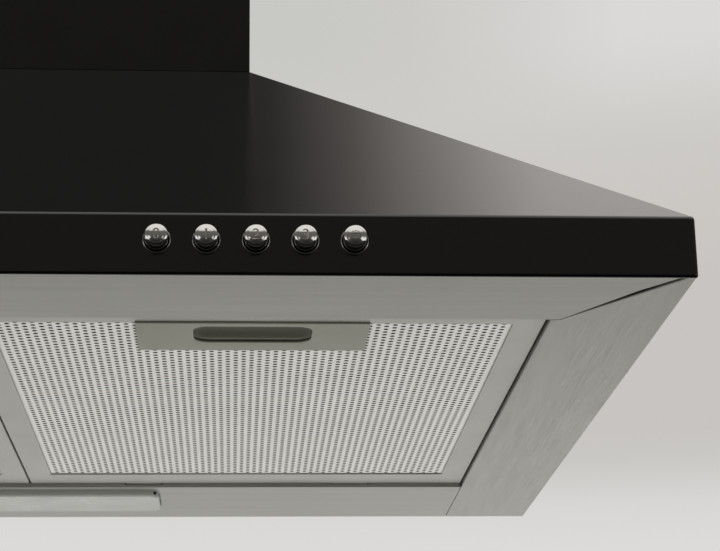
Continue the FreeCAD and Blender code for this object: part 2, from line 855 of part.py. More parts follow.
def make_latch_slide(node, sign):
    """Finger cup with its bright lip and the tongue that holds the filter shut."""
    half = case_half - S.latch_case_wall - S.latch_clearance
    left, right = span(sign, filter_centre, half)
    centre = filter_centre * sign
    block_body = block((left, slide_front, slide_low), (right, slide_rear, slide_high))
    cup_back = slide_rear - S.latch_lip
    cup = block((centre - S.latch_cup_width / 2, cup_back - S.latch_cup_depth, slide_low - PAST),
                (centre + S.latch_cup_width / 2, cup_back, slide_high - S.latch_cup_roof))
    tongue = block((centre - S.tongue_width / 2, filter_front + S.latch_clearance, tongue_low),
                   (centre + S.tongue_width / 2, slide_front, tongue_high))
    finish(fuse(cut(block_body, cup), tongue), node)


def make_latch_spring(node, sign):
    """Coil between the slide and the rear wall of the latch case."""
    start = Vector(filter_centre.number * sign, slide_rear.number, (slide_low + slide_high).number / 2)
    length = (case_rear - S.latch_case_wall - slide_rear).number
    shape_piece(node, coil(start, Vector(0, 1, 0), S.latch_spring_radius.number,
                           S.latch_spring_wire.number, length, LATCH_SPRING_TURNS))


def make_filter(side, sign):
    make_filter_frame(f"{side}_filter_frame", sign)
    make_grid(f"{side}_filter_lower_grid", sign, channel_low, True)
    make_filter_core(f"{side}_filter_core", sign)
    make_grid(f"{side}_filter_upper_grid", sign, grid_high_low, False)
    make_latch_plate(f"{side}_latch_plate", sign)
    make_latch_slide(f"{side}_latch_slide", sign)
    make_latch_spring(f"{side}_latch_spring", sign)


# ---------------------------------------------------------------- lamp
lens_rear = -S.lens_back
lens_front = lens_rear - S.lens_depth
lens_middle = (lens_front + lens_rear) / 2
lens_half = S.lens_width / 2
rim_top = trim_top + S.lens_rim_sheet
lamp_level = rim_top + S.reflector_height / 2


def make_lamp_lens():
    """Moulded diffuser that stands through the panel on an inner rim."""
    body = new_body("lamp_lens")
    low = trim_low - S.lens_drop
    outline = rectangle((-lens_half, lens_front), (lens_half, lens_rear))
    layer(body, "Pad", "XY_Plane", low, trim_top - low, outline)
    round_edges(body, S.lens_corner - S.lens_clearance, lambda edge: edge.BoundBox.ZLength > TOUCH)
    round_edges(body, S.lens_edge, lambda edge: edge.BoundBox.ZMax < low.number + TOUCH)
    rim_half = lens_half + S.lens_rim
    rim = rectangle((-rim_half, lens_front - S.lens_rim), (rim_half, lens_rear + S.lens_rim))
    layer(body, "Pad", "XY_Plane", trim_top, S.lens_rim_sheet, rim)
    wall = S.lens_wall
    inside = rectangle((wall - lens_half, lens_front + wall), (lens_half - wall, lens_rear - wall))
    layer(body, "Pocket", "XY_Plane", low + wall, rim_top - low, inside, reverse=True)


def make_lamp_reflector():
    """Bright box over the lens, open below."""
    half = lens_half + S.lens_rim
    fore = lens_front - S.lens_rim
    aft = lens_rear + S.lens_rim
    top = rim_top + S.reflector_height
    wall = S.reflector_sheet
    finish(cut(block((-half, fore, rim_top), (half, aft, top)),
               block((wall - half, fore + wall, rim_top - PAST), (half - wall, aft - wall, top - wall))),
           "lamp_reflector")


holder_start = S.reflector_sheet - lens_half - S.lens_rim
holder_end = holder_start + S.holder_length


def make_lamp_holder():
    """Threaded socket on the reflector's end wall."""
    bore_start = holder_end - S.bulb_cap_length - S.bulb_clearance
    bore = S.bulb_cap_radius + S.bulb_clearance
    finish(cut(rod((holder_start, lens_middle, lamp_level), "X", S.holder_radius, S.holder_length),
               rod((bore_start, lens_middle, lamp_level), "X", bore, S.holder_length)),
           "lamp_holder")


def make_lamp_bulb():
    """Candle bulb: screw cap and egg-shaped glass."""
    cap_start = holder_end - S.bulb_cap_length
    cap_length = S.bulb_cap_length + S.bulb_radius / 2
    cap = rod((cap_start, lens_middle, lamp_level), "X", S.bulb_cap_radius, cap_length)
    glass = doc.addObject("Part::Ellipsoid", "glass")
    bind(glass, "Radius1", S.bulb_radius)
    bind(glass, "Radius2", S.bulb_length / 2)
    bind(glass, "Radius3", S.bulb_radius)
    put(glass, holder_end + S.bulb_clearance + S.bulb_length / 2, lens_middle, lamp_level)
    finish(fuse(cap, glass), "lamp_bulb")


# ---------------------------------------------------------------- push buttons
cap_front = front - S.button_stand
cap_back = cap_front + S.button_length
bore_end = cap_back + S.button_travel + S.spring_stack
bore_radius = S.button_radius + S.button_clearance


def make_button(node, x):
    """Chrome cap with a rounded edge on a stem."""
    body = new_body(node)
    layer(body, "Pad", "XZ_Plane", -cap_back, S.button_length, None, [((x, S.button_level), S.button_radius)])
    round_edges(body, S.button_edge, lambda edge: edge.BoundBox.YMax < cap_front.number + TOUCH)
    layer(body, "Pad", "XZ_Plane", -cap_back - S.stem_length, S.stem_length, None,
          [((x, S.button_level), S.stem_radius)])


def make_button_springs():
    springs = []
    for x in button_places():
        start = Vector(x.number, cap_back.number, S.button_level.number)
        springs.append(coil(start, Vector(0, 1, 0), S.spring_coil_radius.number, S.spring_wire.number,
                            (bore_end - cap_back).number, BUTTON_SPRING_TURNS))
    shape_piece("button_springs", Part.makeCompound(springs))


def make_button_bezels():
    rings = []
    for x in button_places():
        start = front - S.bezel_stand
        rings.append(cut(
            rod((x, start, S.button_level), "Y", bore_radius + S.bezel_width, S.bezel_stand),
            rod((x, start - PAST, S.button_level), "Y", bore_radius, S.bezel_stand + 2 * PAST),
        ))
    finish(group(*rings), "button_bezels")


def make_switch_housing():
    """Moulded switch block behind the fascia, resting on the canopy's front flange."""
    places = button_places()
    low = flange_top
    box = block((places[0] - S.housing_end, inner_front, low),
                (places[-1] + S.housing_end, inner_front + S.housing_depth, low + S.housing_height))
    bores = []
    for x in places:
        start = inner_front - PAST
        bores.append(rod((x, start, S.button_level), "Y", bore_radius, bore_end - start))
        bores.append(rod((x, inner_front, S.button_level), "Y", S.stem_radius + S.stem_clearance,
                         S.housing_depth - S.stem_end_wall))
    finish(cut(box, *bores), "switch_housing")


# ---------------------------------------------------------------- blower
blower_y = -(S.chimney_depth / 2 + S.blower_offset)
scroll_top = deck_low
inner_scroll = S.scroll_radius - S.scroll_wall


def scroll_solid(x, width, radius):
    """Half-round casing below a straight-sided neck."""
    return fuse(rod((x, blower_y, S.blower_level), "X", radius, width),
                block((x, blower_y - radius, S.blower_level), (x + width, blower_y + radius, scroll_top)))


def make_scroll_half(node, sign):
    """One shell of the blower casing with its round air inlet and cut-off."""
    width = S.scroll_half_width
    start = ZERO if sign > 0 else -width
    inner_start = ZERO - PAST if sign > 0 else S.scroll_wall - width
    inner_width = width - S.scroll_wall + PAST
    inside = fuse(
        rod((inner_start, blower_y, S.blower_level), "X", inner_scroll, inner_width),
        block((inner_start, blower_y - inner_scroll, S.blower_level),
              (inner_start + inner_width, blower_y + inner_scroll, scroll_top + PAST)),
    )
    inlet = rod((start - PAST, blower_y, S.blower_level), "X", S.inlet_radius, width + 2 * PAST)
    wall_y = blower_y + inner_scroll
    cut_off_top = scroll_top - S.cut_off_drop
    cut_off = block((start, wall_y - S.cut_off_length, cut_off_top - S.cut_off_height),
                    (start + width, wall_y, cut_off_top))
    finish(fuse(cut(scroll_solid(start, width, S.scroll_radius), inside, inlet), cut_off), node)


def make_blower_deck():
    """Plate under the canopy's top flange that carries the blower and the collar."""
    body = new_body("blower_deck")
    half = chimney_half - S.canopy_sheet - S.seat_gap - S.deck_sheet / 2
    fore = S.canopy_sheet + S.seat_gap + S.deck_sheet / 2 - S.chimney_depth
    holes = [((ZERO, blower_y), S.collar_radius - S.collar_wall)]
    holes += [((x, y), S.screw_radius) for x, y in deck_screw_places()]
    holes += [((x, -S.chimney_depth / 2), S.screw_radius + S.seat_gap) for x in chimney_screw_places()]
    layer(body, "Pad", "XY_Plane", deck_low, S.deck_sheet, rectangle((-half, fore), (half, trim_back)), holes)


def make_impeller():
    """Squirrel cage: a middle disc with its hub, blades to both sides and two end rings."""
    body = new_body("impeller")
    centre = (blower_y, S.blower_level)
    disc = S.impeller_disc
    layer(body, "Pad", "YZ_Plane", -disc / 2, disc, None, [(centre, S.impeller_radius)])
    layer(body, "Pad", "YZ_Plane", -disc / 2, S.hub_length, None, [(centre, S.hub_radius)])
    doc.recompute()
    blade = new_sketch(body, "YZ_Plane", -S.impeller_half_width)
    root = S.impeller_radius - S.blade_length
    tip = S.impeller_radius - S.blade_sheet / 2
    polygon(blade, rectangle((blower_y - S.blade_sheet / 2, S.blower_level + root),
                             (blower_y + S.blade_sheet / 2, S.blower_level + tip)))
    pad = feature(body, "Pad", blade, S.impeller_half_width * 2)
    doc.recompute()
    axis_sketch = new_sketch(body, "XY_Plane", S.blower_level)
    axis_ends = [Vector(x, blower_y.number, 0) for x in (0, S.hub_radius.number)]
    line = axis_sketch.addGeometry(Part.LineSegment(*axis_ends), True)
    pin(axis_sketch, line, 1, (ZERO, blower_y))
    pin(axis_sketch, line, 2, (S.hub_radius, blower_y))
    pattern = body.newObject("PartDesign::PolarPattern", "blades")
    pattern.Originals = [pad]
    pattern.Axis = (axis_sketch, ["Axis0"])
    pattern.Angle = 360
    pattern.Occurrences = BLADE_COUNT
    body.Tip = pattern
    doc.recompute()
    for start in (-S.impeller_half_width, S.impeller_half_width - disc):
        ring = new_sketch(body, "YZ_Plane", start)
        circle(ring, centre, S.impeller_radius)
        circle(ring, centre, root - S.blade_sheet / 2)
        feature(body, "Pad", ring, disc)
    bore = [(centre, S.shaft_radius)]
    layer(body, "Pocket", "YZ_Plane", -disc, S.hub_length + disc * 2, None, bore, reverse=True)


motor_start = -S.scroll_half_width
shaft_start = motor_start + S.motor_bracket_sheet


def make_motor():
    """Round motor can with a nose towards the impeller and a bore for its shaft."""
    can = rod((motor_start, blower_y, S.blower_level), "X", S.motor_radius, S.motor_length)
    nose_start = motor_start + S.motor_length
    nose = rod((nose_start, blower_y, S.blower_level), "X", S.motor_nose_radius, S.motor_bracket_sheet)
    bore = rod((shaft_start - S.shaft_clearance, blower_y, S.blower_level), "X",
               S.shaft_radius + S.shaft_clearance, S.motor_length + S.motor_bracket_sheet)
    finish(cut(fuse(can, nose), bore), "motor")


def make_motor_shaft():
    length = S.hub_length - shaft_start
    finish(rod((shaft_start, blower_y, S.blower_level), "X", S.shaft_radius, length), "motor_shaft")


def make_motor_bracket():
    """Rim and three arms across the left air inlet."""
    start = motor_start - S.motor_bracket_sheet
    thick = S.motor_bracket_sheet
    rim = cut(rod((start, blower_y, S.blower_level), "X", S.inlet_radius + S.motor_bracket_rim, thick),
              rod((start - PAST, blower_y, S.blower_level), "X", S.inlet_radius, thick + 2 * PAST))
    pieces = [rim, rod((start, blower_y, S.blower_level), "X", S.motor_pad_radius, thick)]
    reach = S.inlet_radius + S.motor_bracket_rim / 2
    swing = S.motor_bracket_arm / 2
    for index in range(BRACKET_ARMS):
        arm = block((start, blower_y, S.blower_level),
                    (start + thick, blower_y + S.motor_bracket_arm, S.blower_level + reach))
        turn = 360 * index / BRACKET_ARMS
        across = swing * math.cos(math.radians(turn))
        lift = swing * math.sin(math.radians(turn))
        put(arm, start, blower_y - across, S.blower_level - lift, rotation=Rotation(Vector(1, 0, 0), turn))
        pieces.append(arm)
    finish(fuse(*pieces), "motor_bracket")


def make_capacitor():
    """Boxed run capacitor on the casing's right wall, above the air inlet."""
    end = S.scroll_half_width + S.capacitor_width
    half = S.capacitor_length / 2
    body = new_body("capacitor")
    low = S.blower_level + S.inlet_radius + S.motor_bracket_sheet
    outline = rectangle((S.scroll_half_width, blower_y - half), (end, blower_y + half))
    layer(body, "Pad", "XY_Plane", low, S.capacitor_height, outline)
    round_edges(body, S.corner_radius, lambda edge: edge.BoundBox.XMin > end.number - TOUCH)


# ---------------------------------------------------------------- duct collar and flaps
flap_z = collar_base + S.flap_level
flap_radius = S.collar_radius - S.collar_wall - S.flap_gap


def make_duct_collar():
    """Spigot for the air hose, with a flange, a ledge under the flaps and holes for their pin."""
    base = (ZERO, blower_y, collar_base)
    inner = S.collar_radius - S.collar_wall
    tube = fuse(rod(base, "Z", S.collar_radius, S.collar_height),
                rod(base, "Z", S.collar_radius + S.collar_flange, S.collar_wall))
    hollow = rod((ZERO, blower_y, collar_base - PAST), "Z", inner, S.collar_height + 2 * PAST)
    ledge_low = flap_z - S.flap_sheet / 2 - S.latch_clearance - S.ledge_height
    ledge = cut(
        rod((ZERO, blower_y, ledge_low), "Z", inner + S.collar_wall / 2, S.ledge_height),
        rod((ZERO, blower_y, ledge_low - PAST), "Z", inner - S.ledge_width, S.ledge_height + 2 * PAST),
    )
    pin_hole = rod((ZERO, blower_y - S.collar_radius - PAST, flap_z), "Y",
                   S.flap_pin_radius, (S.collar_radius + PAST) * 2)
    finish(cut(fuse(cut(tube, hollow), ledge), pin_hole), "duct_collar")


def make_flap_pin():
    start = (ZERO, blower_y - S.collar_radius, flap_z)
    finish(rod(start, "Y", S.flap_pin_radius, S.collar_radius * 2), "flap_pin")


def make_flap(node, sign, knuckles):
    """Half disc with its hinge knuckles round the pin."""
    half_sheet = S.flap_sheet / 2
    disc = rod((ZERO, blower_y, flap_z - half_sheet), "Z", flap_radius, S.flap_sheet)
    big = S.collar_radius + PAST
    ends = (-big, S.flap_root) if sign > 0 else (-S.flap_root, big)
    away = block((ends[0], blower_y - big, flap_z - S.flap_sheet),
                 (ends[1], blower_y + big, flap_z + S.flap_sheet))
    pieces = [cut(disc, away)]
    for start in knuckles:
        pieces.append(rod((ZERO, blower_y + start, flap_z), "Y", S.knuckle_radius, S.knuckle_length))
        web = sorted((ZERO, (S.flap_root + PAST) * sign), key=lambda size: size.number)
        pieces.append(block((web[0], blower_y + start, flap_z - half_sheet),
                            (web[1], blower_y + start + S.knuckle_length, flap_z + half_sheet)))
    bore = rod((ZERO, blower_y - S.collar_radius, flap_z), "Y", S.flap_pin_radius + S.flap_pin_clearance,
               S.collar_radius * 2)
    finish(cut(fuse(*pieces), bore), node)


def make_flaps():
    outer = S.knuckle_length / 2 + S.knuckle_gap
    make_flap("right_flap", 1, [-S.knuckle_length / 2])
    make_flap("left_flap", -1, [outer, -outer - S.knuckle_length])


# ---------------------------------------------------------------- chimney covers
def chimney_outline(half, depth, back, wall):
    """Plan of a cover: front, two sides and two inward returns at the back."""
    inner = half - wall
    ends = half - S.chimney_return
    return [(-half, back), (-half, -depth), (half, -depth), (half, back), (ends, back), (ends, back - wall),
            (inner, back - wall), (inner, wall - depth), (-inner, wall - depth), (-inner, back - wall),
            (-ends, back - wall), (-ends, back)]


upper_half = chimney_half - S.chimney_sheet - S.chimney_slide_gap
upper_depth = S.chimney_depth - S.chimney_sheet - S.chimney_slide_gap
upper_back = -S.chimney_sheet - S.chimney_slide_gap
lower_chimney_top = S.canopy_height + S.lower_chimney_height
upper_chimney_top = lower_chimney_top + S.upper_chimney_stand
upper_chimney_low = upper_chimney_top - S.upper_chimney_height


def make_lower_chimney():
    body = new_body("lower_chimney")
    layer(body, "Pad", "XY_Plane", S.canopy_height, S.lower_chimney_height,
          chimney_outline(chimney_half, S.chimney_depth, ZERO, S.chimney_sheet))
    middle = -S.chimney_depth / 2
    for sign, x in zip((-1, 1), chimney_screw_places()):
        near = (chimney_half - S.chimney_sheet - S.chimney_tab_width) * sign
        far = (chimney_half - S.chimney_sheet / 2) * sign
        half = S.chimney_tab_length / 2
        layer(body, "Pad", "XY_Plane", S.canopy_height, S.chimney_sheet,
              rectangle((near, middle - half), (far, middle + half)), [((x, middle), S.screw_radius)])


def make_upper_chimney():
    body = new_body("upper_chimney")
    layer(body, "Pad", "XY_Plane", upper_chimney_low, S.upper_chimney_height,
          chimney_outline(upper_half, upper_depth, upper_back, S.chimney_sheet))
    middle = -S.chimney_depth / 2
    for index in range(VENT_COUNT):
        low = upper_chimney_top - S.bracket_height - S.vent_pitch * (index + 2)
        vent = rectangle((middle - S.vent_length / 2, low), (middle + S.vent_length / 2, low + S.vent_height))
        layer(body, "Pocket", "YZ_Plane", -chimney_half, S.chimney_width, vent, reverse=True)


bracket_low = upper_chimney_top - S.bracket_height - S.upper_chimney_stand
bracket_front = upper_back - S.chimney_sheet
bracket_half = upper_half - S.chimney_sheet


def make_chimney_bracket():
    """Wall plate on two bosses, with arms that the upper cover is screwed to."""
    high = bracket_low + S.bracket_height
    thick = S.bracket_sheet
    plate = block((-bracket_half, bracket_front - thick, bracket_low), (bracket_half, bracket_front, high))
    tip = bracket_front - S.bracket_arm
    arms = [
        block((-bracket_half, tip, bracket_low), (thick - bracket_half, bracket_front, high)),
        block((bracket_half - thick, tip, bracket_low), (bracket_half, bracket_front, high)),
    ]
    middle = (bracket_low + high) / 2
    start = bracket_front - thick - PAST
    bosses = []
    holes = []
    for sign in (-1, 1):
        x = S.bracket_hole_spacing / 2 * sign
        bosses.append(rod((x, bracket_front, middle), "Y", S.bracket_boss_radius, -bracket_front))
        holes.append(rod((x, start, middle), "Y", S.bracket_hole_radius, ZERO + PAST - start))
    finish(cut(fuse(plate, *arms, *bosses), *holes), "chimney_bracket")


# ---------------------------------------------------------------- mains box, wiring and screws
terminal_x = S.terminal_inset - half_width
terminal_left = terminal_x - S.terminal_width / 2
terminal_right = terminal_left + S.terminal_width
terminal_front = back_face - S.terminal_depth
terminal_middle = (back_face + terminal_front) / 2
terminal_top = S.terminal_level + S.terminal_height


def make_terminal_box():
    """Tray on the back plate and its flat cover."""
    wall = S.terminal_wall
    tray = cut(
        block((terminal_left, terminal_front, S.terminal_level), (terminal_right, back_face, terminal_top)),
        block((terminal_left + wall, terminal_front - PAST, S.terminal_level + wall),
              (terminal_right - wall, back_face - wall, terminal_top - wall)),
        rod((terminal_x, terminal_middle, terminal_top - wall - PAST), "Z",
            S.gland_bore_radius, wall + 2 * PAST),
    )
    finish(tray, "terminal_box")
    cover = block((terminal_left, terminal_front - wall, S.terminal_level),
                  (terminal_right, terminal_front, terminal_top))
    finish(cover, "terminal_cover")


def make_cable_gland():
    """Entry for the mains lead on top of the terminal box."""
    start = (terminal_x, terminal_middle, terminal_top)
    bore_start = (terminal_x, terminal_middle, terminal_top - PAST)
    finish(cut(fuse(rod(start, "Z", S.gland_radius, S.gland_height / 2),
                    rod(start, "Z", S.gland_nut_radius, S.gland_height)),
               rod(bore_start, "Z", S.gland_bore_radius, S.gland_height + 2 * PAST)),
           "cable_gland")


def make_wiring():
    """Leads from the terminal box to the switches, the motor and the lamp, laid along the folds."""
    radius = S.lead_radius.number
    turn = S.lead_turn.number
    sweep = S.lead_sweep.number
    reach = S.lead_reach.number
    lie = (trim_top + S.lead_radius + S.lead_rise).number
    housing_z = lie + S.lead_gap.number
    y_box = terminal_middle.number
    z_box = (S.terminal_level + S.lead_inset).number
    z_high = (terminal_top - S.lead_inset).number
    channel_x = (S.flange_width + S.lead_gap - inner_half).number
    channel_y = (inner_front + S.flange_width + S.lead_gap).number
    housing_x = (button_places()[0] - S.housing_end).number
    housing_y = (inner_front + S.housing_depth - S.lead_inset).number
    box_left = terminal_left.number
    box_right = terminal_right.number
    switch_points = [
        Vector(box_left, y_box, z_box),
        Vector(box_left - sweep, y_box, z_box),
        Vector(channel_x, y_box - sweep, lie),
        Vector(channel_x, channel_y + S.lead_corner.number, lie),
        Vector(channel_x + turn, channel_y, lie),
        Vector(housing_x - reach, channel_y, lie),
        Vector(housing_x - S.lead_end.number, housing_y, housing_z),
        Vector(housing_x, housing_y, housing_z),
    ]
    motor_x = (motor_start - S.motor_bracket_sheet).number
    motor_points = [
        Vector(box_right, y_box, z_high),
        Vector(box_right + turn, y_box, z_high),
        Vector(motor_x - reach, blower_y.number, S.blower_level.number),
        Vector(motor_x, blower_y.number, S.blower_level.number),
    ]
    lamp_x = -(lens_half + S.lens_rim).number
    lamp_points = [
        Vector(box_right, y_box, z_box),
        Vector(box_right + turn, y_box, z_box),
        Vector(lamp_x - turn, lens_middle.number, lamp_level.number),
        Vector(lamp_x, lens_middle.number, lamp_level.number),
    ]
    leads = [pipe(points, radius) for points in (switch_points, motor_points, lamp_points)]
    shape_piece("wiring_leads", Part.makeCompound(leads))


def make_screws():
    """Screws that hold the blower deck and the lower chimney cover to the canopy's top flange."""
    finish(group(*[screw((x, y, deck_low), "Z") for x, y in deck_screw_places()]), "deck_screws")
    top = S.canopy_height + S.chimney_sheet
    middle = -S.chimney_depth / 2
    finish(group(*[screw((x, middle, top), "Z", head_at_start=False) for x in chimney_screw_places()]),
           "chimney_screws")


# ---------------------------------------------------------------- assembly
make_canopy_flanges(make_canopy())
make_back_plate()
make_front_trim()
make_side_trim("right_side_trim", 1)
make_side_trim("left_side_trim", -1)
make_lamp_panel()
make_filter("right", 1)
make_filter("left", -1)
make_lamp_lens()
make_lamp_reflector()
make_lamp_holder()
make_lamp_bulb()
for button_node, button_x in zip(BUTTONS, button_places()):
    make_button(button_node, button_x)
make_button_springs()
make_button_bezels()
make_switch_housing()
make_scroll_half("right_scroll_case", 1)
make_scroll_half("left_scroll_case", -1)
make_blower_deck()
make_impeller()
make_motor()
make_motor_shaft()
make_motor_bracket()
make_capacitor()
make_duct_collar()
make_flap_pin()
make_flaps()
make_lower_chimney()
make_upper_chimney()
make_chimney_bracket()
make_terminal_box()
make_cable_gland()
make_wiring()
make_screws()
doc.recompute()

for item in doc.Objects:
    if "Invalid" in item.State or "Error" in item.State:
        raise RuntimeError(f"{item.Label} failed: {item.State}")
for piece in FINISHED:
    if piece.Shape.isNull() or not piece.Shape.isValid():
        raise RuntimeError(f"{piece.Label} has no valid shape")

os.makedirs("parts", exist_ok=True)
for piece in FINISHED:
    piece.Shape.exportStep(os.path.join("parts", f"{piece.Label}.step"))
print(len(FINISHED), "pieces written")
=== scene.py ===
"""Finishes, finer pieces, studio and camera for a wall chimney range hood.

Sizes in the settings are millimetres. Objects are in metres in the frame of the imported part:
X to the right, the front faces -Y, +Z up, the wall is the plane Y = 0.
"""

import json
import math

import bmesh
import bpy
from bpy.props import FloatProperty, FloatVectorProperty, PointerProperty, StringProperty
from mathutils import Matrix, Vector

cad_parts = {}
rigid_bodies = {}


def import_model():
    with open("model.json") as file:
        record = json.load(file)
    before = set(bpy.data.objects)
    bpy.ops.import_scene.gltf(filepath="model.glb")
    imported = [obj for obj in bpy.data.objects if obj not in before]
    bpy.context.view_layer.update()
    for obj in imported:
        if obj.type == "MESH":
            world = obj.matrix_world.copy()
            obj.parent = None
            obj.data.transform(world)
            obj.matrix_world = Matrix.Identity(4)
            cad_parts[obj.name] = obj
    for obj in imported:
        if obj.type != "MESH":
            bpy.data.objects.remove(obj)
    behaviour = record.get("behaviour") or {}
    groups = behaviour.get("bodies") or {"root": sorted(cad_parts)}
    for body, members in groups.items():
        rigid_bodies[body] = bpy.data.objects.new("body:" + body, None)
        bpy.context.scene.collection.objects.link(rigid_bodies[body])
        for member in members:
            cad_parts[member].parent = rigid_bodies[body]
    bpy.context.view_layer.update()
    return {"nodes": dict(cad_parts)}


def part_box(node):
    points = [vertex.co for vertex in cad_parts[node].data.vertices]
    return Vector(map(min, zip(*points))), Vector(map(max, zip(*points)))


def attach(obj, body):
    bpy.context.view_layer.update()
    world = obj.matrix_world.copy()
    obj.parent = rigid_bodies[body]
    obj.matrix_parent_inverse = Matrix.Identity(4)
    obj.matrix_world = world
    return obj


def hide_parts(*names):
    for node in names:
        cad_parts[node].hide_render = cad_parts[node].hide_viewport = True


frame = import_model()
NODES = frame["nodes"]

bl_info = {
    "name": "Chimney range hood",
    "version": (1, 0, 0),
    "blender": (4, 5, 0),
    "location": "3D View > Sidebar > Range hood",
    "description": "Finishes and finer pieces of a wall chimney range hood",
    "category": "Object",
}

SIDES = ("right", "left")
BUTTON_MARKS = {
    "fan_off_button": "0",
    "fan_low_button": "1",
    "fan_medium_button": "2",
    "fan_high_button": "3",
    "light_button": "lamp",
}
CURVE_STEPS = 8
RING_STEPS = 48
RIM_STEPS = 12
EDGE_STEPS = 2

# turns in degrees above which an edge is eased, and above which a piece shows a crease
EASED_TURN = 40.0
CREASE_TURN = 35.0
CAP_CREASE_TURN = 28.0
RIM_CREASE_TURN = 60.0
WELD_DISTANCE = 1e-6

# edge roundings of pieces inside the hood, in millimetres
SHEET_EDGE = 0.25
CASE_EDGE = 0.6
BOX_EDGE = 0.5

# the filters' frames, in millimetres: width of their rails and Y of the rear rail's inner edge
RAIL_WIDTH = 13.5
FRONT_RAIL_WIDTH = 14.0
REAR_RAIL_EDGE = -116.8
PLATE_LAP = 3.0
CUP_CEILING_CORNER = 0.4

# the lamp's sign at its full height, in millimetres
LAMP_MARK_HEIGHT = 4.3
BULB_RADIUS = 0.71
BULB_RISE = 0.05
CAP_HALF_WIDTH = 0.32
CAP_LOW = -1.06
RAY_NEAR = 1.3
RAY_FAR = 2.1
RAY_HALF_WIDTH = 0.25
RAY_COUNT = 7

# the backdrop and what mirror images show of the room: ranges, then shares of the way and sRGB colours
BACKDROP_HEIGHTS = (0.17, 0.38)
BACKDROP = [(0.0, "#DCDBD9"), (0.1, "#D7D6D4"), (0.2, "#CAC8C5"), (0.27, "#C7C4C1"), (0.6, "#C8C4C1"),
            (1.0, "#CECCC8")]
BACKDROP_TOP_WIDTH = (0.03, 0.19)
BACKDROP_TOP = [(0.0, "#C8C8C4"), (0.35, "#CBCAC6"), (0.7, "#D2D1CF"), (1.0, "#DAD9D8")]
FLOOR_DEPTHS = (-2.6, 1.6)
FLOOR_REFLECTION = [(0.0, "#3D3C3A"), (0.32, "#141414"), (0.51, "#1B1B1B"), (0.71, "#8A8987"),
                    (0.87, "#716F6D"), (0.93, "#F4F3F0"), (1.0, "#FFFEFB")]
FRONT_HEIGHTS = (-0.6, 0.9)
FRONT_REFLECTION = [(0.0, "#0A0A0A"), (0.4, "#5A5855"), (0.78, "#6A6865"), (0.84, "#E4E2DE"),
                    (1.0, "#F4F3F0")]
BACK_WIDTH = (-0.1, 0.3)
BACK_REFLECTION = [(0.12, "#050505"), (0.295, "#3A3837"), (0.395, "#6C6865"), (0.52, "#AEAAA6"),
                   (0.64, "#E2DED9"), (0.75, "#E8E4DF")]
PANEL_DIRECTION = (0.85, -0.5, -0.2)

# floor half width in metres, and the lamps: name, place, target, size in metres and power in watts
FLOOR_HALF = 5.0
LAMPS = (
    ("soft_key", (1.6, -1.8, 2.4), (0.0, -0.25, 0.2), (1.8, 1.8), 38.0),
    ("soft_fill", (-1.8, -1.2, 1.4), (0.0, -0.25, 0.1), (1.6, 1.6), 14.0),
    ("rear_fill", (0.6, 1.8, 1.6), (0.0, -0.1, 0.3), (1.6, 1.6), 12.0),
    # this one lies flat under the hood and shines straight up, so that none of its light falls on the floor
    ("low_fill", (0.1, -0.1, -0.55), (0.1, -0.1, 1.0), (1.2, 0.8), 1.6),
)


# ---------------------------------------------------------------- small helpers
def mm(distance):
    """Millimetres as metres."""
    return distance / 1000.0


def linear(code):
    """An sRGB hex colour as linear red, green, blue and alpha."""
    channels = [int(code[i:i + 2], 16) / 255 for i in (1, 3, 5)]
    return [c / 12.92 if c <= 0.04045 else ((c + 0.055) / 1.055) ** 2.4 for c in channels] + [1.0]


def add_node(tree, kind, values=None, links=None, **settings):
    """One shader node with its settings, its socket values and what feeds its sockets."""
    node = tree.nodes.new(kind)
    for name, value in settings.items():
        setattr(node, name, value)
    for name, value in (values or {}).items():
        node.inputs[name].default_value = value
    for name, source in (links or {}).items():
        tree.links.new(source, node.inputs[name])
    return node


def new_material(name, **surface):
    """A material with one Principled surface; the rest of its nodes are added to its tree."""
    material = bpy.data.materials.new(name)
    material.use_nodes = True
    tree = material.node_tree
    tree.nodes.clear()
    shader = add_node(tree, "ShaderNodeBsdfPrincipled", values=surface)
    add_node(tree, "ShaderNodeOutputMaterial", links={"Surface": shader.outputs["BSDF"]})
    return material, tree, shader


def material_space(tree, stretch):
    """Coordinates in millimetres, divided by the pattern's size along each axis."""
    place = add_node(tree, "ShaderNodeTexCoord")
    scale = [1000.0 / size for size in stretch]
    return add_node(tree, "ShaderNodeMapping", values={"Scale": scale},
                    links={"Vector": place.outputs["Object"]}).outputs["Vector"]


def noise(tree, stretch, detail=2.0, roughness=0.5):
    """A soft noise whose grains have the given size in millimetres."""
    return add_node(tree, "ShaderNodeTexNoise",
                    values={"Scale": 1.0, "Detail": detail, "Roughness": roughness},
                    links={"Vector": material_space(tree, stretch)}).outputs["Fac"]


def spread(tree, source, low, high):
    """The noise's middle range stretched between two values."""
    return add_node(tree, "ShaderNodeMapRange",
                    values={"From Min": 0.3, "From Max": 0.7, "To Min": low, "To Max": high},
                    links={"Value": source}).outputs["Result"]


def tint(tree, source, dark, light):
    """A colour between two hex colours."""
    return add_node(tree, "ShaderNodeMix", data_type="RGBA",
                    values={"A": linear(dark), "B": linear(light)},
                    links={"Factor": spread(tree, source, 0.0, 1.0)}).outputs["Result"]


def ramp(tree, source, low, high, stops):
    """A colour that follows a value between two limits through hex stops at shares of the way."""
    share = add_node(tree, "ShaderNodeMapRange", values={"From Min": low, "From Max": high},
                     links={"Value": source}).outputs["Result"]
    node = add_node(tree, "ShaderNodeValToRGB", links={"Fac": share})
    elements = node.color_ramp.elements
    while len(elements) < len(stops):
        elements.new(1.0)
    for element, (position, code) in zip(elements, stops):
        element.position = position
        element.color = linear(code)
    return node.outputs["Color"]


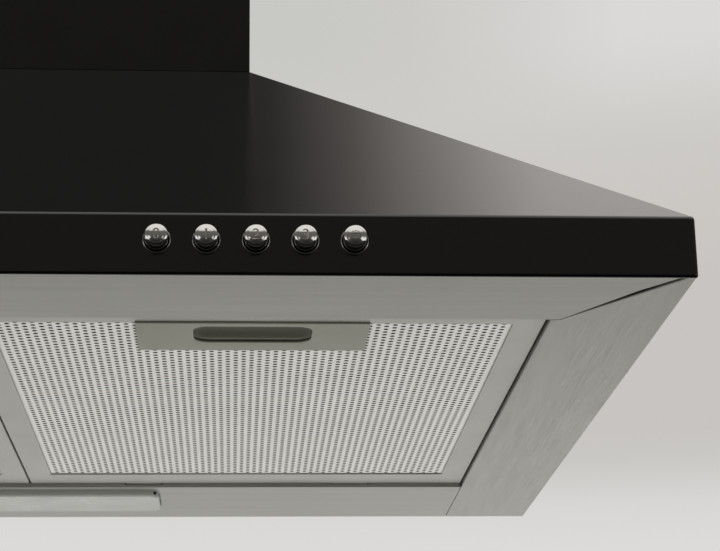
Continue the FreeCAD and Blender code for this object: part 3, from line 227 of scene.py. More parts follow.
def blend(tree, share, first, second):
    """Two colours, each a value or a node's output, mixed by a share."""
    node = add_node(tree, "ShaderNodeMix", data_type="RGBA", links={"Factor": share})
    for socket, source in (("A", first), ("B", second)):
        if isinstance(source, list):
            node.inputs[socket].default_value = source
        else:
            tree.links.new(source, node.inputs[socket])
    return node.outputs["Result"]


def smooth_share(tree, source, low, high):
    """A share that rises smoothly from 0 to 1 between two values."""
    return add_node(tree, "ShaderNodeMapRange", interpolation_type="SMOOTHSTEP",
                    values={"From Min": low, "From Max": high}, links={"Value": source}).outputs["Result"]


def relief(tree, source, height):
    """A bump of the given height in millimetres."""
    return add_node(tree, "ShaderNodeBump", values={"Strength": 1.0, "Distance": mm(height)},
                    links={"Height": source}).outputs["Normal"]


def link(tree, source, shader, socket):
    """Feeds one of the surface's sockets."""
    tree.links.new(source, shader.inputs[socket])


def coat(nodes, material, edge=None):
    """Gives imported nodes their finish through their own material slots, and rounds their edges."""
    for node in nodes:
        for slot in NODES[node].material_slots:
            slot.material = material
        if edge:
            ease_edges(node, edge)


def ease_edges(node, width):
    """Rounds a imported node's sharp edges, as folding, moulding or deburring leaves them."""
    piece = NODES[node]
    weld = piece.modifiers.new("joined_faces", "WELD")
    weld.merge_threshold = WELD_DISTANCE
    bevel = piece.modifiers.new("eased_edges", "BEVEL")
    bevel.width = mm(width)
    bevel.segments = EDGE_STEPS
    bevel.limit_method = "ANGLE"
    bevel.angle_limit = math.radians(EASED_TURN)
    bevel.use_clamp_overlap = True
    normals = piece.modifiers.new("even_shading", "WEIGHTED_NORMAL")
    normals.keep_sharp = False


def mesh_piece(name, verts, faces, material, body, replaced=(), crease=CREASE_TURN):
    """A piece from its points in metres and its faces, riding on a body."""
    mesh = bpy.data.meshes.new(name)
    mesh.from_pydata([tuple(v) for v in verts], [], faces)
    mesh.validate()
    return place_piece(name, mesh, material, body, replaced, crease)


def place_piece(name, mesh, material, body, replaced, crease):
    """A smoothly shaded mesh with its finish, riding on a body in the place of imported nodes."""
    for polygon in mesh.polygons:
        polygon.use_smooth = True
    mesh.set_sharp_from_angle(angle=math.radians(crease))
    mesh.materials.clear()
    mesh.materials.append(material)
    piece = bpy.data.objects.new(name, mesh)
    bpy.context.scene.collection.objects.link(piece)
    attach(piece, body)
    if replaced:
        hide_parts(*replaced)
    return piece


def rounded_loop(centre, half, radius, level):
    """Points of a rounded rectangle in millimetres, anticlockwise seen from above."""
    points = []
    corners = ((1, 1, 0), (-1, 1, 90), (-1, -1, 180), (1, -1, 270))
    for side_x, side_y, start in corners:
        x = centre[0] + side_x * (half[0] - radius)
        y = centre[1] + side_y * (half[1] - radius)
        for step in range(CURVE_STEPS + 1):
            turn = math.radians(start + 90 * step / CURVE_STEPS)
            points.append((x + radius * math.cos(turn), y + radius * math.sin(turn), level))
    return points


def ring_loop(centre, radius, depth):
    """Points of a circle about a line along Y in millimetres."""
    points = []
    for step in range(RING_STEPS):
        turn = 2 * math.pi * step / RING_STEPS
        points.append((centre[0] + radius * math.cos(turn), depth, centre[1] + radius * math.sin(turn)))
    return points


def skin(loops, closed):
    """Points in metres and faces over loops of equal length, capped at both ends unless closed."""
    count = len(loops[0])
    verts = [Vector(point) / 1000 for loop in loops for point in loop]
    faces = []
    pairs = len(loops) if closed else len(loops) - 1
    for row in range(pairs):
        low = row * count
        high = (row + 1) % len(loops) * count
        for step in range(count):
            after = (step + 1) % count
            faces.append((low + step, low + after, high + after, high + step))
    if not closed:
        faces.append(tuple(range(count - 1, -1, -1)))
        faces.append(tuple((len(loops) - 1) * count + step for step in range(count)))
    return verts, faces


def join(parts):
    """Several lists of points and faces as one."""
    verts, faces = [], []
    for more_verts, more_faces in parts:
        base = len(verts)
        verts += more_verts
        faces += [tuple(index + base for index in face) for face in more_faces]
    return verts, faces


def outward(mesh):
    """Turns every face of a closed mesh to its outside."""
    work = bmesh.new()
    work.from_mesh(mesh)
    bmesh.ops.recalc_face_normals(work, faces=work.faces)
    work.to_mesh(mesh)
    work.free()


def closed_mesh(name, verts, faces):
    """A mesh from points in metres and faces, each turned to its outside."""
    mesh = bpy.data.meshes.new(name)
    mesh.from_pydata(verts, [], faces)
    outward(mesh)
    return mesh


def baked(piece):
    """The mesh of an object as its curves and modifiers leave it; the object goes."""
    bpy.context.view_layer.update()
    graph = bpy.context.evaluated_depsgraph_get()
    mesh = bpy.data.meshes.new_from_object(piece.evaluated_get(graph), depsgraph=graph)
    bpy.data.objects.remove(piece)
    return mesh


def box_mm(node):
    """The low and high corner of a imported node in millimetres."""
    low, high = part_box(node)
    return low * 1000, high * 1000


# ---------------------------------------------------------------- finishes
def enamel_finish(name, base, roughness):
    """Black vitreous enamel, sprayed and fired on steel sheet in a ground coat and a glassy cover coat.

    Its faint orange peel blurs a reflection's edge and leaves the black deep.
    """
    material, tree, shader = new_material(name, **{
        "Base Color": linear(base), "Roughness": roughness, "IOR": 1.5, "Coat Weight": 0.6,
        "Coat Roughness": roughness})
    # orange peel waves of fired enamel are about 2 mm long and under a micrometre high
    peel = noise(tree, (2.2, 2.2, 2.2), detail=1.0)
    link(tree, relief(tree, peel, 0.0012), shader, "Normal")
    cloud = noise(tree, (60.0, 60.0, 60.0))
    link(tree, spread(tree, cloud, roughness - 0.02, roughness + 0.02), shader, "Roughness")
    return material


def powder_finish(name, dark, light):
    """Fine-textured powder coat on steel sheet: a dull black with a grainy sheen."""
    material, tree, shader = new_material(name, **{"Roughness": 0.42, "IOR": 1.5,
                                                   "Specular IOR Level": 0.3})
    grain = noise(tree, (0.9, 0.9, 0.9))
    link(tree, tint(tree, noise(tree, (25.0, 25.0, 25.0)), dark, light), shader, "Base Color")
    link(tree, relief(tree, grain, 0.006), shader, "Normal")
    link(tree, spread(tree, grain, 0.36, 0.46), shader, "Roughness")
    return material


def brushed_finish(name, dark, light, roughness, along, metallic=0.72):
    """Stainless steel sheet, belt-brushed along one axis: streaks that run with the strip.

    The grit leaves scratches about 0.1 mm apart; they are drawn 0.5 mm apart so that they show. They
    scatter part of the light, so the steel stays grey where it mirrors something dark.
    """
    material, tree, shader = new_material(name, **{"Metallic": metallic, "Roughness": roughness})
    stretch = [0.5, 0.5, 0.5]
    stretch["XYZ".index(along)] = 45.0
    broad = [6.0, 6.0, 6.0]
    broad["XYZ".index(along)] = 220.0
    scratches = noise(tree, stretch, detail=3.0, roughness=0.6)
    bands = noise(tree, broad)
    mixed = add_node(tree, "ShaderNodeMix", data_type="FLOAT", values={"Factor": 0.35},
                     links={"A": scratches, "B": bands}).outputs["Result"]
    link(tree, tint(tree, mixed, dark, light), shader, "Base Color")
    link(tree, spread(tree, scratches, roughness - 0.06, roughness + 0.08), shader, "Roughness")
    link(tree, relief(tree, scratches, 0.0015), shader, "Normal")
    return material


def satin_finish(name, dark, light, roughness, grain, height, metallic=1.0):
    """Metal with an even satin surface, pickled, anodised or tumbled: a soft sheen without streaks.

    The duller its skin of oxide, the smaller its metallic share and the more evenly it takes the light.
    """
    material, tree, shader = new_material(name, **{"Metallic": metallic, "Roughness": roughness})
    fine = noise(tree, (grain, grain, grain), detail=3.0)
    wide = noise(tree, (35.0, 35.0, 35.0))
    mixed = add_node(tree, "ShaderNodeMix", data_type="FLOAT", values={"Factor": 0.5},
                     links={"A": fine, "B": wide}).outputs["Result"]
    link(tree, tint(tree, mixed, dark, light), shader, "Base Color")
    link(tree, spread(tree, fine, roughness - 0.05, roughness + 0.05), shader, "Roughness")
    link(tree, relief(tree, fine, height), shader, "Normal")
    return material


def galvanised_finish(name):
    """Hot-dip galvanised steel sheet: zinc crystals 8 mm wide, each a slightly different grey."""
    material, tree, shader = new_material(name, **{"Metallic": 0.7, "Roughness": 0.42})
    cells = add_node(tree, "ShaderNodeTexVoronoi", values={"Scale": 1.0},
                     links={"Vector": material_space(tree, (8.0, 8.0, 8.0))})
    shade = add_node(tree, "ShaderNodeSeparateColor",
                     links={"Color": cells.outputs["Color"]}).outputs["Red"]
    link(tree, tint(tree, shade, "#A6AAAD", "#B4B8BB"), shader, "Base Color")
    link(tree, spread(tree, shade, 0.39, 0.45), shader, "Roughness")
    link(tree, relief(tree, noise(tree, (3.0, 3.0, 3.0)), 0.004), shader, "Normal")
    return material


def moulded_finish(name, dark, light, roughness, grain=0.8, height=0.01, **more):
    """Injection-moulded plastic; the spark-eroded grain of its tool, if it has one, gives a soft gloss."""
    material, tree, shader = new_material(name, **{"Roughness": roughness, "IOR": 1.5, **more})
    fine = noise(tree, (grain, grain, grain), detail=2.0)
    link(tree, tint(tree, noise(tree, (30.0, 30.0, 30.0)), dark, light), shader, "Base Color")
    link(tree, spread(tree, fine, roughness - 0.05, roughness + 0.05), shader, "Roughness")
    if height:
        link(tree, relief(tree, fine, height), shader, "Normal")
    return material


def chrome_finish(name):
    """Bright chromium plate over polished plastic: a mirror with faint handling haze."""
    material, tree, shader = new_material(name, **{"Base Color": linear("#E4E2DE"), "Metallic": 1.0,
                                                   "Roughness": 0.07})
    haze = noise(tree, (1.6, 1.6, 1.6), detail=3.0)
    link(tree, spread(tree, haze, 0.05, 0.12), shader, "Roughness")
    link(tree, relief(tree, haze, 0.0015), shader, "Normal")
    return material


def glass_finish(name):
    """Blown lamp glass, frosted inside: a soft white shell."""
    material, tree, shader = new_material(name, **{"Base Color": linear("#F1EFE8"), "IOR": 1.5,
                                                   "Transmission Weight": 0.35, "Roughness": 0.3})
    wave = noise(tree, (12.0, 12.0, 12.0))
    link(tree, spread(tree, wave, 0.24, 0.36), shader, "Roughness")
    link(tree, relief(tree, wave, 0.02), shader, "Normal")
    return material


# ---------------------------------------------------------------- settings
def length(name, description, default, low, high):
    """A setting in millimetres."""
    return FloatProperty(name=name, description=f"{description} in millimetres", default=default, min=low,
                         max=high)


def colour(name, description, default):
    """A setting that holds an sRGB hex colour."""
    return StringProperty(name=name, description=f"{description}, sRGB hex", default=default)


def angle(name, description, default):
    """A setting in radians."""
    return FloatProperty(name=name, description=description, default=default, subtype="ANGLE",
                         unit="ROTATION")


class HoodCanopySettings(bpy.types.PropertyGroup):
    """Colours and shine of the black covers."""

    enamel: colour("Enamel", "Colour of the canopy's enamel", "#060505")
    enamel_roughness: FloatProperty(name="Enamel roughness", description="Blur of the enamel's reflections",
                                    default=0.14, min=0.05, max=0.6)
    cover_edge: length("Edge rounding", "Rounding of cut sheet edges", 0.25, 0.05, 0.6)


class HoodTrimSettings(bpy.types.PropertyGroup):
    """Brushed steel strips of the underside."""

    steel_dark: colour("Scratch shade", "Darker shade of the steel", "#9C9C97")
    steel_light: colour("Steel shade", "Lighter shade of the steel", "#B4B4AF")
    roughness: FloatProperty(name="Roughness", description="Blur of the brushed steel", default=0.36,
                             min=0.1, max=0.7)
    edge: length("Edge rounding", "Rounding of the strips' edges", 0.3, 0.05, 0.5)


class HoodFilterSettings(bpy.types.PropertyGroup):
    """Grease filters: perforation and frames."""

    hole_diameter: length("Hole diameter", "Holes of the lower sheet", 2.3, 1.0, 3.0)
    column_spacing: length("Column spacing", "Sideways spacing", 3.6, 3.2, 8.0)
    row_spacing: length("Row spacing", "Spacing along a column", 4.3, 3.2, 9.0)
    upper_scale: FloatProperty(name="Upper sheet scale", default=2.0, min=1.0, max=4.0,
                               description="How much coarser the upper sheet's holes are")
    frame_edge: length("Fold radius", "Fold radius of the frames", 0.7, 0.1, 1.5)


class HoodLatchSettings(bpy.types.PropertyGroup):
    """Latch plates and the slides with their finger cups."""

    plate_edge: length("Plate edge", "Rounding of the latch plate's edges", 0.4, 0.1, 0.45)
    slide_length: length("Slide length", "Length of the slide's block", 26.3, 20.0, 40.0)
    slide_edge: length("Slide edge", "Rounding of the slide's edges", 0.4, 0.1, 0.8)
    cup_width: length("Cup width", "Width of the finger cup", 52.0, 30.0, 54.0)
    cup_depth: length("Cup depth", "Depth of the finger cup", 17.6, 10.0, 20.0)
    cup_corner: length("Cup corner", "Corner radius of the finger cup", 6.0, 2.0, 8.0)
    cup_rim: length("Cup rim", "Rounding of the finger cup's rim", 0.4, 0.2, 1.2)
    cup_roof: length("Cup roof", "Metal left above the finger cup", 1.4, 0.8, 3.0)
    lip: length("Lip", "Distance of the cup from the slide's rear edge", 7.2, 5.0, 12.0)
    tongue_width: length("Tongue width", "Width of the latch tongue", 20.0, 10.0, 30.0)
    tongue_sheet: length("Tongue sheet", "Thickness of the latch tongue", 2.0, 1.0, 3.0)
    tongue_rise: length("Tongue rise", "Height of the tongue above the slide's underside", 2.8, 1.0, 4.0)


class HoodButtonSettings(bpy.types.PropertyGroup):
    """Chrome push buttons, their marks and their rims."""

    edge_radius: length("Cap edge", "Rounding of the cap's face", 1.3, 0.5, 2.5)
    face_rise: length("Face rise", "Height of the cap's domed face", 0.8, 0.1, 2.0)
    cap_length: length("Cap length", "Length of the cap", 17.5, 10.0, 25.0)
    stem_radius: length("Stem radius", "Radius of the stem", 2.5, 1.0, 4.0)
    stand: length("Stand", "How far the cap stands out", 7.5, 2.0, 12.0)
    mark_height: length("Mark height", "Height of the engraved marks", 4.3, 2.0, 6.0)
    mark_depth: length("Mark depth", "Depth of the engraving", 0.6, 0.1, 1.2)
    rim_radius: length("Rim radius", "Radius of the rim", 5.3, 5.1, 5.5)
    rim_width: length("Rim width", "Width of the rim's round bead", 0.34, 0.3, 0.6)
    mark_slope: length("Mark slope", "Width of the marks' sloped walls", 0.32, 0.05, 0.4)
    mark_weight: length("Mark weight", "Widening of the marks' strokes", 0.12, 0.0, 0.3)


class HoodStageSettings(bpy.types.PropertyGroup):
    """Floor, even light and camera."""

    floor_level: FloatProperty(name="Floor", description="Height of the floor", default=-0.62,
                               unit="LENGTH")
    floor_colour: colour("Floor colour", "Colour of the floor", "#D9D8D5")
    fill: colour("Fill light", "Colour of the room's even light", "#A9A8A6")
    camera_place: FloatVectorProperty(name="Camera", description="Where the camera stands", size=3,
                                      subtype="TRANSLATION", unit="LENGTH",
                                      default=(0.11772, -1.23328, -0.23608))
    camera_turn: angle("Turn", "Turn to the right", 0.06597)
    camera_rise: angle("Rise", "Upward tilt", 0.31067)
    camera_roll: angle("Roll", "Roll about the view", -0.0146)
    lens: length("Lens", "Focal length on a 36 mm sensor", 99.18, 20.0, 200.0)


# ---------------------------------------------------------------- operators
class HOOD_OT_covers(bpy.types.Operator):
    """Enamels the canopy and powder-coats the two chimney covers"""

    bl_idname = "hood.covers"
    bl_label = "Canopy and chimney covers"

    def execute(self, context):
        options = context.scene.hood_canopy
        enamel = enamel_finish("black_vitreous_enamel_fired", options.enamel, options.enamel_roughness)
        coat(("canopy_shell",), enamel)
        paint = powder_finish("black_powder_coat_baked", "#0B0A09", "#0F0E0D")
        coat(("lower_chimney", "upper_chimney"), paint, options.cover_edge)
        return {"FINISHED"}


class HOOD_OT_trims(bpy.types.Operator):
    """Brushes the steel strips round the filters, each along its own length"""

    bl_idname = "hood.trims"
    bl_label = "Underside strips"

    def execute(self, context):
        options = context.scene.hood_trims
        across = brushed_finish("stainless_steel_brushed_across", options.steel_dark, options.steel_light,
                                options.roughness, "X")
        lengthwise = brushed_finish("stainless_steel_brushed_lengthwise", options.steel_dark,
                                    options.steel_light, options.roughness, "Y")
        coat(("front_trim", "lamp_panel"), across, options.edge)
        coat(("right_side_trim", "left_side_trim"), lengthwise, options.edge)
        return {"FINISHED"}


def hole_cell(xs, ys, radius):
    """Flat pieces, in millimetres, of one rectangular cell round its eight-sided hole."""
    (x0, x1), (y0, middle, y1) = xs, ys
    centre_x = (x0 + x1) / 2
    rim = []
    for turn in range(8):
        way = math.radians(45 * turn)
        rim.append((centre_x + radius * math.cos(way), middle + radius * math.sin(way)))
    east, north_east, north_west = (x1, middle), (x1, y1), (x0, y1)
    west, south_west, south_east = (x0, middle), (x0, y0), (x1, y0)
    return [
        (east, north_east, rim[1], rim[0]), (north_east, rim[2], rim[1]),
        (north_east, north_west, rim[2]), (north_west, rim[3], rim[2]), (north_west, west, rim[4], rim[3]),
        (west, south_west, rim[5], rim[4]), (south_west, rim[6], rim[5]), (south_west, south_east, rim[6]),
        (south_east, rim[7], rim[6]), (south_east, east, rim[0], rim[7]),
    ]


def walled_plate(cells, low, high):
    """A closed plate from flat cells in millimetres, with a wall wherever a cell has no neighbour."""
    order, plan = {}, []
    for cell in cells:
        plan.append(tuple(order.setdefault(point, len(order)) for point in cell))
    count = len(order)
    edges = {pair for face in plan for pair in zip(face, face[1:] + face[:1])}
    faces = [tuple(reversed(face)) for face in plan]
    faces += [tuple(index + count for index in face) for face in plan]
    faces += [(a, b, b + count, a + count) for a, b in sorted(edges) if (b, a) not in edges]
    verts = [Vector((x, y, level)) / 1000 for level in (low, high) for x, y in order]
    return verts, faces


def perforated_sheet(name, node, frame_node, keep_out, spacing, diameter, finishes, body):
    """Thin sheet with staggered round holes inside the filter's frame and a plain margin on its rails."""
    surface, punched_edge = finishes
    low, high = box_mm(node)
    frame_low, frame_high = box_mm(frame_node)
    wide, tall = spacing
    inner_low = (frame_low.x + RAIL_WIDTH, frame_low.y + FRONT_RAIL_WIDTH)
    inner_high = (frame_high.x - RAIL_WIDTH, REAR_RAIL_EDGE)
    columns = int((inner_high[0] - inner_low[0]) / wide)
    rows = int((inner_high[1] - inner_low[1]) / tall)
    start_x = (inner_low[0] + inner_high[0] - columns * wide) / 2
    start_y = (inner_low[1] + inner_high[1] - rows * tall) / 2
    xs = [start_x + column * wide for column in range(columns + 1)]
    ys = [start_y + step * tall / 2 for step in range(2 * rows + 1)]
    across = [low.x] + xs + [high.x]

    def plain(x0, x1, y0, y1):
        return (x0, y0), (x1, y0), (x1, y1), (x0, y1)

    def covered(x0, x1, y0):
        return keep_out and x0 < keep_out[1] and x1 > keep_out[0] and y0 < keep_out[2]

    cells = []
    for x0, x1 in zip(across, across[1:]):
        cells.append(plain(x0, x1, ys[-1], high.y))
        if not covered(x0, x1, low.y):
            cells.append(plain(x0, x1, low.y, ys[0]))
    for x0, x1 in ((low.x, xs[0]), (xs[-1], high.x)):
        cells += [plain(x0, x1, y0, y1) for y0, y1 in zip(ys, ys[1:])]
    for column in range(columns):
        x0, x1 = xs[column], xs[column + 1]
        first = column % 2
        if first and not covered(x0, x1, ys[0]):
            cells.append(plain(x0, x1, ys[0], ys[1]))
        for step in range(first, 2 * rows - 1, 2):
            if not covered(x0, x1, ys[step]):
                cells += hole_cell((x0, x1), ys[step:step + 3], diameter / 2)
        if first:
            cells.append(plain(x0, x1, ys[-2], ys[-1]))
    verts, faces = walled_plate(cells, low.z, high.z)
    piece = mesh_piece(name, verts, faces, surface, body, (node,))
    # the walls of the holes come after the flat faces of both sides; they get the dark grey painted shade
    piece.data.materials.append(punched_edge)
    for polygon in piece.data.polygons[2 * len(cells):]:
        polygon.material_index = 1


class HOOD_OT_filters(bpy.types.Operator):
    """Perforates the filters' sheets and finishes their frames and mesh layers"""

    bl_idname = "hood.filters"
    bl_label = "Grease filters"

    def execute(self, context):
        options = context.scene.hood_filters
        # the sheet is nearly white and the walls of its holes are painted dark grey as painted shade, so
        # that the holes stand out as dark dots; the frame is a little darker than the sheet, and the foil
        # behind the holes is painted darker still as painted shade
        sheet = satin_finish("aluminium_sheet_perforated", "#F0EFEB", "#FAF9F6", 0.5, 0.7, 0.004, 0.25)
        punched = satin_finish("aluminium_hole_walls_painted_shade", "#5A5955", "#6A6965", 0.6, 0.7, 0.004, 0.3)
        rail = satin_finish("aluminium_rolled_satin", "#AFAEA8", "#BFBEB8", 0.42, 0.9, 0.004, 0.35)
        mesh_layer = satin_finish("aluminium_foil_painted_shade", "#35332F", "#45433F", 0.5, 1.2, 0.05, 0.5)
        for side in SIDES:
            body = f"{side}_filter"
            coat((f"{side}_filter_frame",), rail, options.frame_edge)
            # the core behind the holes is painted near black as painted shade
            coat((f"{side}_filter_core",), mesh_layer)
            plate_low, plate_high = box_mm(f"{side}_latch_plate")
            keep_out = (plate_low.x + PLATE_LAP, plate_high.x - PLATE_LAP, plate_high.y - PLATE_LAP)
            spacing = (options.column_spacing, options.row_spacing)
            perforated_sheet(f"{side}_perforated_lower_sheet", f"{side}_filter_lower_grid",
                             f"{side}_filter_frame", keep_out, spacing, options.hole_diameter,
                             (sheet, punched), body)
            coarse = tuple(options.upper_scale * size for size in spacing)
            perforated_sheet(f"{side}_perforated_upper_sheet", f"{side}_filter_upper_grid",
                             f"{side}_filter_frame", None, coarse,
                             options.hole_diameter * options.upper_scale, (sheet, punched), body)
        return {"FINISHED"}


def slide_loops(middle, cup_middle, half, cup_half, options, low, high):
    """Sections of a latch slide, from the roof of its finger cup to its own top."""
    ceiling = high - options.cup_roof
    radius = options.cup_corner
    loops = []
    for step in range(CURVE_STEPS + 1):
        turn = math.radians(90 * step / CURVE_STEPS)
        inset = radius * (1 - math.sin(turn))
        drop = (ceiling - low - options.cup_rim) * (1 - math.cos(turn))
        inner = (cup_half[0] - inset, cup_half[1] - inset)
        corner = radius * (CUP_CEILING_CORNER + (1 - CUP_CEILING_CORNER) * math.sin(turn))
        loops.append(rounded_loop(cup_middle, inner, corner, ceiling - drop))
    for step in range(1, CURVE_STEPS + 1):
        turn = math.radians(90 * step / CURVE_STEPS)
        out = options.cup_rim * (1 - math.cos(turn))
        drop = options.cup_rim * (1 - math.sin(turn))
        outer = (cup_half[0] + out, cup_half[1] + out)
        loops.append(rounded_loop(cup_middle, outer, radius + out, low + drop))
    return loops + block_loops(middle, half, low, high, options.slide_edge)


def block_loops(middle, half, low, high, edge):
    """Sections of a block with eased edges, from its underside up."""
    sections = ((edge, low), (0.0, low + edge), (0.0, high - edge), (edge, high))
    return [rounded_loop(middle, (half[0] - inset, half[1] - inset), edge * 2, level)
            for inset, level in sections]


class HOOD_OT_latches(bpy.types.Operator):
    """Finishes the latch plates and builds the slides with their scooped finger cups"""

    bl_idname = "hood.latches"
    bl_label = "Filter latches"

    def execute(self, context):
        options = context.scene.hood_latches
        # an olive grey casting, darker in the shade of its cup
        plate_metal = satin_finish("zinc_alloy_cast_satin", "#97978A", "#A2A294", 0.4, 0.8, 0.004, 0.65)
        spring = satin_finish("spring_steel_drawn", "#8A8A88", "#A0A09E", 0.25, 0.6, 0.002)
        for side in SIDES:
            coat((f"{side}_latch_plate",), plate_metal, options.plate_edge)
            coat((f"{side}_latch_spring",), spring)
            self.build_slide(side, options, plate_metal)
        return {"FINISHED"}

    def build_slide(self, side, options, material):
        """A block with a scooped cup in its underside, and its tongue in front."""
        node = f"{side}_latch_slide"
        low, high = box_mm(node)
        centre = (low.x + high.x) / 2
        front = high.y - options.slide_length
        middle = (centre, (front + high.y) / 2)
        half = ((high.x - low.x) / 2, options.slide_length / 2)
        cup_half = (options.cup_width / 2, options.cup_depth / 2)
        cup_middle = (centre, high.y - options.lip - cup_half[1])
        loops = slide_loops(middle, cup_middle, half, cup_half, options, low.z, high.z)
        tongue_low = low.z + options.tongue_rise
        tongue_back = front + options.slide_edge
        tongue = block_loops((centre, (low.y + tongue_back) / 2),
                             (options.tongue_width / 2, (tongue_back - low.y) / 2), tongue_low,
                             tongue_low + options.tongue_sheet, options.slide_edge / 2)
        verts, faces = join([skin(loops, False), skin(tongue, False)])
        piece = mesh_piece(f"{node}_cup", verts, faces, material, f"{side}_latch", (node,))
        outward(piece.data)


def lamp_mark(centre, depths, slope, scale):
    """A lamp with its rays, as a closed mesh between two depths with sloped walls at its deep end."""
    bulb = []
    for degrees in range(-50, 231, 20):
        turn = math.radians(degrees)
        bulb.append(Vector((BULB_RADIUS * math.cos(turn), BULB_RADIUS * math.sin(turn) + BULB_RISE)))
    outlines = [bulb + [Vector((-CAP_HALF_WIDTH, CAP_LOW)), Vector((CAP_HALF_WIDTH, CAP_LOW))]]
    for index in range(RAY_COUNT):
        turn = math.radians(-20 + 220 * index / (RAY_COUNT - 1))
        ray = Vector((math.cos(turn), math.sin(turn)))
        side = Vector((-ray.y, ray.x)) * RAY_HALF_WIDTH
        near, far = ray * RAY_NEAR, ray * RAY_FAR
        outlines.append([near - side, far - side, far + side, near + side])
    parts = []
    for outline in outlines:
        middle = sum(outline, Vector((0.0, 0.0))) / len(outline)
        shrunk = [middle.lerp(point, 0.5) for point in outline]
        sections = ((depths[0], outline), (depths[1] - slope, outline), (depths[1], shrunk))
        loops = [[(centre[0] + scale * x, y, centre[1] + scale * z) for x, z in points]
                 for y, points in sections]
        parts.append(skin(loops, False))
    return closed_mesh("mark", *join(parts))


def mark_cutter(mark, centre, face, options):
    """A closed mesh in the form of the mark, standing through the cap's face."""
    depths = (face - 1.0, face + options.mark_depth)
    if mark == "lamp":
        return lamp_mark(centre, depths, options.mark_slope, options.mark_height / LAMP_MARK_HEIGHT)
    curve = bpy.data.curves.new("mark", "FONT")
    curve.body = mark
    curve.align_x = "CENTER"
    curve.align_y = "CENTER"
    curve.size = mm(options.mark_height / 0.7)
    curve.bevel_depth = mm(options.mark_slope)
    curve.offset = mm(options.mark_weight - options.mark_slope)
    curve.extrude = mm(depths[1] - depths[0]) / 2 - curve.bevel_depth
    curve.resolution_u = 4
    holder = bpy.data.objects.new("mark", curve)
    bpy.context.scene.collection.objects.link(holder)
    mesh = baked(holder)
    place = Vector((centre[0], sum(depths) / 2, centre[1])) / 1000
    mesh.transform(Matrix.Translation(place) @ Matrix.Rotation(math.pi / 2, 4, "X"))
    work = bmesh.new()
    work.from_mesh(mesh)
    bmesh.ops.remove_doubles(work, verts=work.verts, dist=1e-7)
    bmesh.ops.recalc_face_normals(work, faces=work.faces)
    work.to_mesh(mesh)
    work.free()
    return mesh


def engraved(mesh, cutter):
    """The mesh with the cutter's form taken out of it."""
    scene = bpy.context.scene.collection.objects
    base = bpy.data.objects.new("cap_blank", mesh)
    tool = bpy.data.objects.new("cap_tool", cutter)
    scene.link(base)
    scene.link(tool)
    boolean = base.modifiers.new("engraving", "BOOLEAN")
    boolean.operation = "DIFFERENCE"
    boolean.solver = "EXACT"
    boolean.object = tool
    result = baked(base)
    bpy.data.objects.remove(tool)
    return result


def cap_loops(centre, radius, face, end, options):
    """Rings of a button from its domed face over the rounded edge to the end of its stem."""
    edge = options.edge_radius
    flat = radius - edge
    shoulder = math.atan(2 * options.face_rise / flat)
    loops = []
    for step in range(1, CURVE_STEPS + 1):
        share = step / CURVE_STEPS
        loops.append(ring_loop(centre, flat * share, face + options.face_rise * share ** 2))
    for step in range(1, CURVE_STEPS + 1):
        turn = shoulder + (math.pi / 2 - shoulder) * step / CURVE_STEPS
        reach = edge * (math.sin(turn) - math.sin(shoulder)) / (1 - math.sin(shoulder))
        drop = edge * (math.cos(shoulder) - math.cos(turn))
        loops.append(ring_loop(centre, flat + reach, face + options.face_rise + drop))
    back = face + options.cap_length
    loops.append(ring_loop(centre, radius, back))
    loops.append(ring_loop(centre, options.stem_radius, back))
    loops.append(ring_loop(centre, options.stem_radius, end))
    return loops


class HOOD_OT_buttons(bpy.types.Operator):
    """Turns the chrome button caps, engraves their marks and sets the rims round them"""

    bl_idname = "hood.buttons"
    bl_label = "Push buttons"

    def execute(self, context):
        options = context.scene.hood_buttons
        chrome = chrome_finish("chromium_plate_polished")
        rim_parts = []
        for node, mark in BUTTON_MARKS.items():
            low, high = box_mm(node)
            centre = ((low.x + high.x) / 2, (low.z + high.z) / 2)
            loops = cap_loops(centre, (high.x - low.x) / 2, low.y, high.y, options)
            blank = closed_mesh(node, *skin(loops, False))
            cap = engraved(blank, mark_cutter(mark, centre, low.y, options))
            place_piece(f"{node}_cap", cap, chrome, node, (node,), CAP_CREASE_TURN)
            bead = options.rim_width / 2
            fascia = low.y + options.stand
            ring = []
            for step in range(RIM_STEPS):
                turn = 2 * math.pi * step / RIM_STEPS
                ring.append(ring_loop(centre, options.rim_radius + bead * math.cos(turn),
                                      fascia + bead * math.sin(turn)))
            rim_parts.append(skin(ring, True))
        verts, faces = join(rim_parts)
        rims = mesh_piece("button_rims", verts, faces, chrome, "hood", ("button_bezels",), RIM_CREASE_TURN)
        outward(rims.data)
        # bright wire in front of a dull black housing
        wire = satin_finish("spring_wire_drawn", "#8A8A88", "#A0A09E", 0.25, 0.6, 0.002)
        coat(("button_springs",), wire)
        coat(("switch_housing",), moulded_finish("polyamide_moulded_black", "#1B1B1B", "#242424", 0.5))
        return {"FINISHED"}


class HOOD_OT_lamp(bpy.types.Operator):
    """Finishes the lamp's lens, reflector, holder and bulb"""

    bl_idname = "hood.lamp"
    bl_label = "Lamp"

    def execute(self, context):
        # the lens comes from a polished mould: milky, smooth, a little light passes into it
        lens = moulded_finish("polycarbonate_moulded_milky", "#A9AAA6", "#ADAEAA", 0.3, 40.0, 0.0,
                              **{"Subsurface Weight": 0.15, "Subsurface Radius": (0.003, 0.003, 0.003)})
        coat(("lamp_lens",), lens)
        # behind it a bright sheet throws the light down past a white ceramic holder
        bright = satin_finish("aluminium_sheet_bright", "#C8C8C6", "#D8D8D6", 0.22, 1.0, 0.003)
        coat(("lamp_reflector",), bright)
        coat(("lamp_holder",), moulded_finish("steatite_pressed_white", "#DAD7CE", "#E5E2DA", 0.35))
        coat(("lamp_bulb",), glass_finish("lamp_glass_blown_frosted"))
        return {"FINISHED"}


